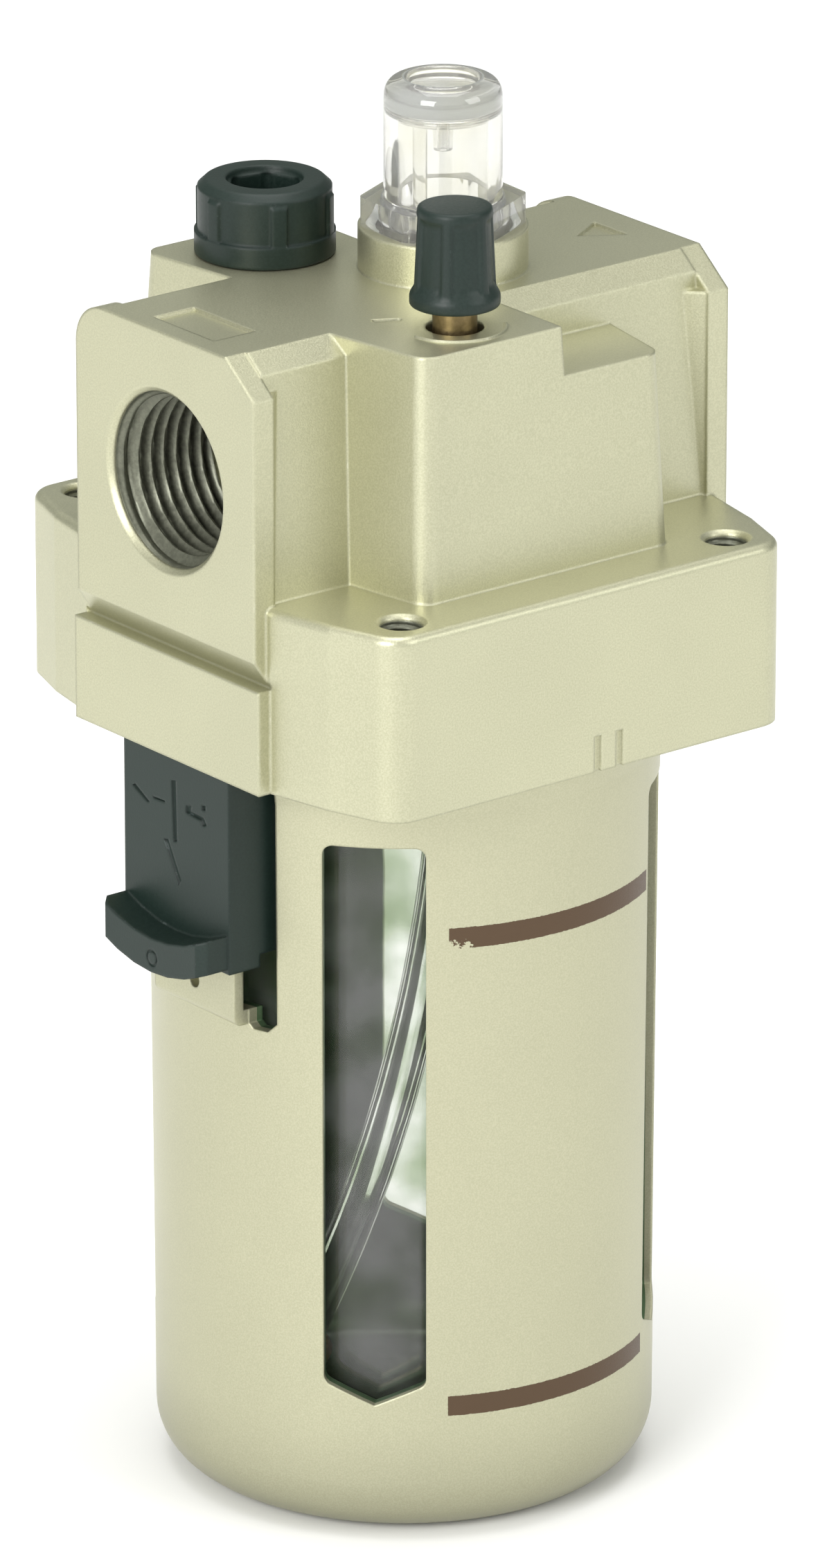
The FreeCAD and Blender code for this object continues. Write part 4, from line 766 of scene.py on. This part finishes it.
@dataclass(frozen=True)
class InnerThread:
    """A sleeve with an inner screw thread, set in a plain hole.

    The root is the sleeve's outer radius and the play is what its valleys stand clear of it.
    The crest's share of the pitch follows from the flank's steepness and the valley's share.
    """

    root: float
    crest: float
    pitch: float
    length: float
    segments: int
    rows_per_pitch: int
    play: float = 0.04 * MM
    flank: float = 2.7
    valley: float = 0.18
    fade_in: float = 1.1

    def sleeve(self, name: str, start: Vector, way: Vector) -> bpy.types.Object:
        """The sleeve as an object.

        The inner radius at angle a and depth s is the valley's radius minus the thread's
        height times a flat-topped wave of s / pitch - a / 2 pi, faded in and out at the ends.

        Args:
            name: the piece's name.
            start: the middle of its outer end.
            way: unit vector into the hole.
        Returns:
            The sleeve.
        """
        rows = int(self.length / self.pitch * self.rows_per_pitch)
        depth = np.linspace(0.0, self.length, rows)[:, None]
        angle = np.linspace(0.0, TURN, self.segments, endpoint=False)[None, :]
        phase = (depth / self.pitch - angle / TURN) % 1.0
        tooth = np.clip((0.5 - np.abs(phase - 0.5)) * self.flank - self.valley, 0.0, 1.0)
        fade = (np.clip(depth / (self.fade_in * self.pitch), 0.0, 1.0)
                * np.clip((self.length - depth) / self.pitch, 0.0, 1.0))
        valley_radius = self.root - self.play
        inner = valley_radius - (valley_radius - self.crest) * tooth * fade
        radius = np.concatenate([inner, np.full((2, self.segments), self.root)])
        along = np.concatenate([depth, [[self.length], [0.0]]]) + 0 * radius
        angle = angle + 0 * radius
        side = way.orthogonal().normalized()
        across = way.cross(side)
        points = (np.array(start) + along[..., None] * np.array(way)
                  + (radius * np.cos(angle))[..., None] * np.array(side)
                  + (radius * np.sin(angle))[..., None] * np.array(across))
        return add_mesh(name, points.reshape(-1, 3), grid_faces(len(radius), self.segments, True, True))


@dataclass
class Casting:
    """The die-cast body with the threads of its ports and screw holes."""

    port: InnerThread = InnerThread(root=10.5 * MM, crest=9.32 * MM, pitch=1.814 * MM, length=14.6 * MM,
                                    segments=128, rows_per_pitch=14)
    port_height: float = 129.3 * MM
    port_inset: float = 0.9 * MM
    screw: InnerThread = InnerThread(root=2.52 * MM, crest=2.1 * MM, pitch=0.8 * MM, length=7.0 * MM,
                                     segments=40, rows_per_pitch=7)
    screw_x: float = 24.0 * MM
    screw_y: float = 30.0 * MM
    screw_inset: float = 0.7 * MM
    flange_top: float = 118.0 * MM

    def build(self) -> None:
        """Build and dress the casting."""
        smooth_copy("body", Body.HOUSING, CAST, "cast")
        low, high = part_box("body")
        for name, mouth, inwards in (("inlet_thread", low.x, 1.0), ("outlet_thread", high.x, -1.0)):
            start = Vector((mouth + inwards * self.port_inset, 0.0, self.port_height))
            piece = self.port.sleeve(name, start, Vector((inwards, 0.0, 0.0)))
            place(piece, Body.HOUSING, BARE_CAST, "cast")
        for index, (x, y) in enumerate(((-1, -1), (1, -1), (1, 1), (-1, 1)), start=1):
            start = Vector((x * self.screw_x, y * self.screw_y, self.flange_top - self.screw_inset))
            piece = self.screw.sleeve(f"screw_thread_{index}", start, Vector((0.0, 0.0, -1.0)))
            place(piece, Body.HOUSING, BARE_CAST, "cast")


@dataclass
class SightDome:
    """Clear dome with its hexagon, the drip insert below its roof and the seal."""

    radius: float = 6.95 * MM
    wall: float = 1.7 * MM
    throat: float = 3.85 * MM
    throat_drop: float = 0.8 * MM
    bore_rise: float = 0.6 * MM
    thread: float = 5.6 * MM
    shank: float = 9.0 * MM
    hexagon: float = 3.5 * MM
    tall: float = 17.8 * MM
    roof: float = 3.8 * MM
    crown: float = 2.4 * MM
    half_flats: float = 8.5 * MM
    corner: float = 9.62 * MM
    dish: float = 4.4 * MM
    dish_deep: float = 0.8 * MM
    dish_rise: float = 0.05 * MM
    dish_slope: float = 0.5 * MM
    turn: float = math.radians(-34.0)

    def build(self) -> None:
        """Build and dress the dome and what it holds."""
        _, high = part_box("sight_dome")
        centre = axis_of("sight_dome", high.z - self.tall)
        inner = self.radius - self.wall
        ceiling = self.tall - self.roof
        outline = rounded([
            (0.0, self.tall - self.dish_deep, 0),
            (self.dish - self.dish_slope, self.tall - self.dish_deep + self.dish_rise, 0.3 * MM),
            (self.dish, self.tall, 0.35 * MM), (self.radius - 2 * HAIR, self.tall, self.crown),
            (self.radius, self.hexagon, 0.35 * MM), (self.half_flats, self.hexagon, 0),
            (self.half_flats + HAIR, self.hexagon - 2 * HAIR, 0), (self.half_flats + HAIR, 2 * HAIR, 0),
            (self.half_flats, 0.0, 0), (self.thread, 0.0, 0), (self.thread, -self.shank, 0),
            (self.throat, -self.shank, 0), (self.throat, -self.throat_drop, 0.3 * MM),
            (inner, self.bore_rise, 0.4 * MM), (inner, ceiling, 0.7 * MM), (0.0, ceiling, 0),
        ], steps=8)
        dome = turned("sight_dome_clear", outline, centre, CLEAR_SEGMENTS, self.hexagonal, self.turn)
        place(dome, Body.HOUSING, CLEAR_DOME, "clear_dome", "sight_dome")
        smooth_copy("drip_insert", Body.HOUSING, CLEAR_DOME, "clear_dome")
        smooth_copy("dome_oring", Body.HOUSING, RUBBER, "seal")

    def hexagonal(self, radius: np.ndarray, height: np.ndarray, angle: np.ndarray) -> np.ndarray:
        """Radius with the hexagon.

        From half the flats outwards the radius is half the flats over the cosine of the angle
        from the nearest flat's middle, cut to the rounded corners.

        Args:
            radius: radii of the points.
            height: heights of the points.
            angle: angles of the points.
        Returns:
            The new radii.
        """
        away = angle_from_flat(angle, self.turn)
        flats = np.minimum(self.half_flats / np.cos(away), self.corner)
        return np.where(radius > self.half_flats - HAIR / 10, flats + (radius - self.half_flats), radius)


@dataclass
class NeedleValve:
    """Ribbed knob, brass stem, gland and seal of the oil needle."""

    tall: float = 11.8 * MM
    top: float = 4.35 * MM
    foot: float = 4.85 * MM
    side_share: Span = (0.04, 0.93)
    side_points: int = 26
    lip: float = 5.25 * MM
    lip_tall: float = 1.95 * MM
    lip_slope: float = 0.7 * MM
    crown: float = 0.6 * MM
    bore: float = 2.62 * MM
    bore_tall: float = 8.6 * MM
    panel: float = 0.38 * MM
    panel_above_lip: float = 0.1 * MM
    panel_below_top: float = 1.1 * MM
    panel_slope: float = 0.5 * MM
    ribs: int = 6
    rib_half: float = math.radians(5.0)
    rib_slope: float = math.radians(6.0)
    rib_first: float = math.radians(-140.8)

    def build(self) -> None:
        """Build and dress the needle's pieces."""
        low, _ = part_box("needle_knob")
        centre = axis_of("needle_knob", low.z)
        share = np.linspace(*self.side_share, self.side_points)[:, None]
        foot, top = np.array([self.foot, self.lip_tall]), np.array([self.top, self.tall])
        outline = np.concatenate([
            rounded([(0.0, self.bore_tall, 0), (self.bore, self.bore_tall, 0), (self.bore, 0.0, 0.2 * MM),
                     (self.lip, 0.0, 0.35 * MM), (self.lip, self.lip_tall - self.lip_slope, 0.3 * MM),
                     (self.foot, self.lip_tall, 0)], steps=4),
            foot + (top - foot) * share,
            rounded([(self.top + 2 * HAIR, self.tall - self.crown, 0),
                     (self.top - 2 * HAIR, self.tall, 0.55 * MM), (0.0, self.tall, 0)], steps=6)[1:],
        ])
        knob = turned("needle_knob_ribbed", outline, centre, RIBBED_SEGMENTS, self.ribbed)
        place(knob, Body.NEEDLE, BLACK, "black_plastic", "needle_knob")
        smooth_copy("needle_stem", Body.NEEDLE, BRASS, "brass")
        smooth_copy("needle_gland", Body.HOUSING, BRASS, "brass")
        smooth_copy("needle_oring", Body.NEEDLE_SEAL, RUBBER, "seal")

    def ribbed(self, radius: np.ndarray, height: np.ndarray, angle: np.ndarray) -> np.ndarray:
        """Radius with shallow panels between narrow ribs.

        Outside the bore the radius loses the panel's depth times smooth steps of the angle
        from the nearest rib and of the height inside the panel.

        Args:
            radius: radii of the points.
            height: heights of the points.
            angle: angles of the points.
        Returns:
            The new radii.
        """
        away = angle_from_rib(angle, self.rib_first, self.ribs)
        across = smooth_step((away - self.rib_half) / self.rib_slope)
        up = smooth_step((height - self.lip_tall - self.panel_above_lip) / self.panel_slope)
        down = smooth_step((self.tall - self.panel_below_top - height) / self.panel_slope)
        outside = radius > (self.bore + self.foot) / 2
        return radius - self.panel * across * up * down * outside


@dataclass
class FillPort:
    """Fill plug with ribs and socket, and its seal."""

    ring: float = 8.3 * MM
    ring_tall: float = 2.7 * MM
    grip: float = 7.9 * MM
    grip_points: int = 26
    rib: float = 0.34 * MM
    tall: float = 8.9 * MM
    shank: float = 6.44 * MM
    shank_deep: float = 8.6 * MM
    groove: float = 5.8 * MM
    groove_deep: float = 2.2 * MM
    chamfer: float = 0.95 * MM
    socket: float = 4.55 * MM
    socket_flats: float = 4.0 * MM
    socket_deep: float = 5.5 * MM
    mouth_deep: float = 0.8 * MM
    mouth_slope: float = 0.1 * MM
    socket_turn: float = -0.2
    ribs: int = 6
    rib_half: float = math.radians(7.6)
    rib_slope: float = math.radians(1.6)
    rib_below_top: float = 1.25 * MM
    rib_fade: float = 0.3 * MM
    rib_first: float = math.radians(-115.5)

    def build(self) -> None:
        """Build and dress the plug."""
        _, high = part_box("fill_plug")
        centre = axis_of("fill_plug", high.z - self.tall)
        floor = self.tall - self.socket_deep
        shoulder = self.tall - self.chamfer
        mouth = self.tall - self.mouth_deep
        side = np.linspace(self.ring_tall + 5 * HAIR, shoulder - 5 * HAIR, self.grip_points)
        outline = np.concatenate([
            rounded([(0.0, -self.shank_deep, 0), (self.shank, -self.shank_deep, 0.4 * MM),
                     (self.shank, -self.groove_deep, 0), (self.groove, -self.groove_deep, 0),
                     (self.groove, 0.0, 0), (self.ring, 0.0, 0.25 * MM),
                     (self.ring, self.ring_tall, 0.2 * MM)], steps=4),
            np.column_stack([np.full(self.grip_points, self.grip), side]),
            rounded([(self.grip, shoulder, 0), (self.grip, shoulder + 5 * HAIR, 0),
                     (self.grip - self.chamfer, self.tall, 0.3 * MM), (self.socket, self.tall, 0.2 * MM),
                     (self.socket - self.mouth_slope, mouth, 0.2 * MM),
                     (self.socket_flats, mouth - self.mouth_slope, 0), (self.socket_flats, floor, 0),
                     (0.0, floor, 0)], steps=5)[1:],
        ])
        plug = turned("fill_plug_ribbed", outline, centre, RIBBED_SEGMENTS, self.ribbed)
        place(plug, Body.PLUG, BLACK, "black_plastic", "fill_plug")
        smooth_copy("plug_oring", Body.PLUG_SEAL, RUBBER, "seal")

    def ribbed(self, radius: np.ndarray, height: np.ndarray, angle: np.ndarray) -> np.ndarray:
        """Radius with the raised ribs of the grip and the six flats of the socket.

        Args:
            radius: radii of the points.
            height: heights of the points.
            angle: angles of the points.
        Returns:
            The new radii.
        """
        away = angle_from_rib(angle, self.rib_first, self.ribs)
        across = smooth_step((self.rib_half - away) / self.rib_slope)
        down = smooth_step((self.tall - self.rib_below_top - height) / self.rib_fade)
        grip = (np.abs(radius - self.grip) < HAIR) & (height > self.ring_tall)
        turn = angle_from_flat(angle, self.socket_turn)
        flats = np.minimum(self.socket_flats / np.cos(turn), self.socket - self.mouth_slope / 2)
        socket = (np.abs(radius - self.socket_flats) < 2 * HAIR) & (height > 0)
        return np.where(socket, flats, radius + self.rib * across * down * grip)


@dataclass
class OilBowl:
    """Painted guard, clear inner bowl, seal and the latch's spring."""

    radius: float = 26.8 * MM
    wall: float = 2.6 * MM
    low: float = 2.6 * MM
    foot_round: float = 9.0 * MM
    rim: float = 104.1 * MM
    rim_radius: float = 28.5 * MM
    rim_tall: float = 2.2 * MM
    neck: float = 25.9 * MM
    bead: float = 27.5 * MM
    bead_tall: float = 1.4 * MM
    edge: float = 0.3 * MM
    top: float = 111.1 * MM

    def build(self) -> None:
        """Build and dress the bowl."""
        smooth_copy("bowl_guard", Body.BOWL, GUARD, "guard")
        inner, floor = self.radius - self.wall, self.low + self.wall
        shoulder, under_bead = self.rim + self.rim_tall, self.top - self.bead_tall
        outline = rounded([
            (0.0, self.low, 0), (self.radius, self.low, self.foot_round), (self.radius, self.rim, 0),
            (self.rim_radius, self.rim, self.edge), (self.rim_radius, shoulder, self.edge),
            (self.neck, shoulder, 0), (self.neck, under_bead, 0), (self.bead, under_bead, self.edge),
            (self.bead, self.top, self.edge), (inner, self.top, self.edge),
            (inner, floor, self.foot_round - self.wall), (0.0, floor, 0),
        ], steps=12)
        bowl = turned("inner_bowl_clear", outline, Vector((0.0, 0.0, 0.0)), CLEAR_SEGMENTS)
        place(bowl, Body.BOWL, CLEAR_BOWL, "clear_bowl", "inner_bowl")
        smooth_copy("bowl_oring", Body.BOWL, RUBBER, "seal")
        smooth_copy("latch_spring", Body.BOWL, STEEL, "spring_steel")


@dataclass
class Inside:
    """Latch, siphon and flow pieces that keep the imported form."""

    def build(self) -> None:
        """Dress the pieces."""
        for node, body, finish, slot in (
                ("latch_button", Body.LATCH, BLACK, "black_plastic"),
                ("siphon_adapter", Body.HOUSING, NATURAL, "insert_plastic"),
                ("check_ball", Body.HOUSING, STEEL, "ball_steel"),
                ("siphon_tube", Body.HOUSING, CLEAR_TUBE, "clear_tube"),
                ("siphon_filter", Body.HOUSING, BRONZE, "filter_bronze"),
                ("damper_holder", Body.HOUSING, NATURAL, "insert_plastic"),
                ("flow_damper", Body.HOUSING, RUBBER, "seal")):
            smooth_copy(node, body, finish, slot)


def aim(piece: bpy.types.Object, where: Vector, way: Vector) -> None:
    """Set a light or camera at a place, looking along a line.

    Args:
        piece: the light or camera.
        where: its place.
        way: the line of sight.
    """
    piece.matrix_world = Matrix.Translation(where) @ way.to_track_quat("-Z", "Y").to_matrix().to_4x4()


@dataclass(frozen=True)
class SoftLight:
    """A square soft light aimed at the object's middle."""

    name: str
    where: Place
    size: float
    power: float
    middle: Place = (0.0, 0.0, 90.0 * MM)

    def build(self) -> None:
        """Add the light."""
        lamp = bpy.data.lights.new(self.name, "AREA")
        lamp.size = self.size
        lamp.energy = self.power
        where = Vector(self.where)
        aim(add_object(self.name, lamp), where, Vector(self.middle) - where)


@dataclass
class Studio:
    """Pale floor, soft lights and the camera at the photograph's angle."""

    azimuth: float = math.radians(-38.291)
    elevation: float = math.radians(20.078)
    distance: float = 1.3701
    lens: float = 266.88
    sensor: float = 36.0
    clip: Span = (0.05, 50.0)
    target: Place = (0.465 * MM, -0.367 * MM, 84.369 * MM)
    floor_half: float = 6.0
    floor_drop: float = 0.1 * MM
    pale: Colour = (0.90, 0.90, 0.895)
    pale_fade: Span = (1.2, 3.5)
    bright_way: Place = (-0.80, -0.42, 0.43)
    bright_fade: Span = (-0.1, 0.9)
    bright: Colour = (0.95, 0.95, 0.93)
    dim: Colour = (0.30, 0.32, 0.30)
    zenith: Colour = (0.8, 0.8, 0.78)
    zenith_fade: Span = (0.4, 0.85)
    lights: tuple[SoftLight, ...] = (
        SoftLight("key", (-1.60, -0.60, 0.85), size=0.9, power=23.0),
        SoftLight("side", (0.80, -1.65, 0.95), size=1.0, power=11.5),
        SoftLight("top", (0.1, 0.1, 2.2), size=1.6, power=25.0),
    )

    def build(self) -> None:
        """Set up floor, world, lights and camera."""
        self.floor()
        self.world()
        for light in self.lights:
            light.build()
        self.camera()
        bpy.context.scene.view_settings.view_transform = "Standard"

    def floor(self) -> None:
        """A large plane just under the base, pale near the object and darker far away."""
        half, level = self.floor_half, -self.floor_drop
        corners = np.array([[-half, -half, level], [half, -half, level], [half, half, level],
                            [-half, half, level]])
        floor = add_mesh("floor", corners, np.array([[0, 1, 2, 3]]))
        paint = bpy.data.materials.new("floor_paint")
        wires = Wiring.emptied(paint)
        where = wires.add("TexCoord").outputs["Object"]
        away = wires.add("VectorMath", {"operation": "LENGTH"}, in_0=where).outputs["Value"]
        colour = wires.mix(wires.step(away, self.pale_fade), rgba(self.pale), rgba(self.dim))
        shader = wires.add("BsdfPrincipled", Base_Color=colour, Roughness=0.8, Specular_IOR_Level=0.1)
        wires.add("OutputMaterial", Surface=shader.outputs[0])
        floor.data.materials.append(paint)

    def world(self) -> None:
        """A dim surround, pale towards the key light and overhead."""
        world = bpy.data.worlds.new("surround")
        bpy.context.scene.world = world
        wires = Wiring.emptied(world)
        where = wires.add("TexCoord").outputs["Generated"]
        towards = wires.add("VectorMath", {"operation": "DOT_PRODUCT"}, in_0=where, in_1=self.bright_way)
        share = wires.step(towards.outputs["Value"], self.bright_fade)
        colour = wires.mix(share, rgba(self.dim), rgba(self.bright))
        upwards = wires.add("SeparateXYZ", Vector=where).outputs["Z"]
        colour = wires.mix(wires.step(upwards, self.zenith_fade), colour, rgba(self.zenith))
        back = wires.add("Background", Color=colour, Strength=1.0)
        wires.add("OutputWorld", Surface=back.outputs[0])

    def camera(self) -> None:
        """The camera on its line of sight through the target."""
        eye = bpy.data.cameras.new("camera")
        eye.lens = self.lens
        eye.sensor_width = self.sensor
        eye.clip_start, eye.clip_end = self.clip
        made = add_object("camera", eye)
        flat = math.cos(self.elevation)
        back = Vector((math.sin(self.azimuth) * flat, -math.cos(self.azimuth) * flat,
                       math.sin(self.elevation)))
        aim(made, Vector(self.target) + back * self.distance, -back)
        bpy.context.scene.camera = made


def main() -> None:
    """Build every sub-assembly in order, then the studio."""
    logging.basicConfig(level=logging.INFO, format="%(name)s %(message)s")
    for part in (Casting(), SightDome(), NeedleValve(), FillPort(), OilBowl(), Inside(), Studio()):
        part.build()


if __name__ == "__main__":
    main()
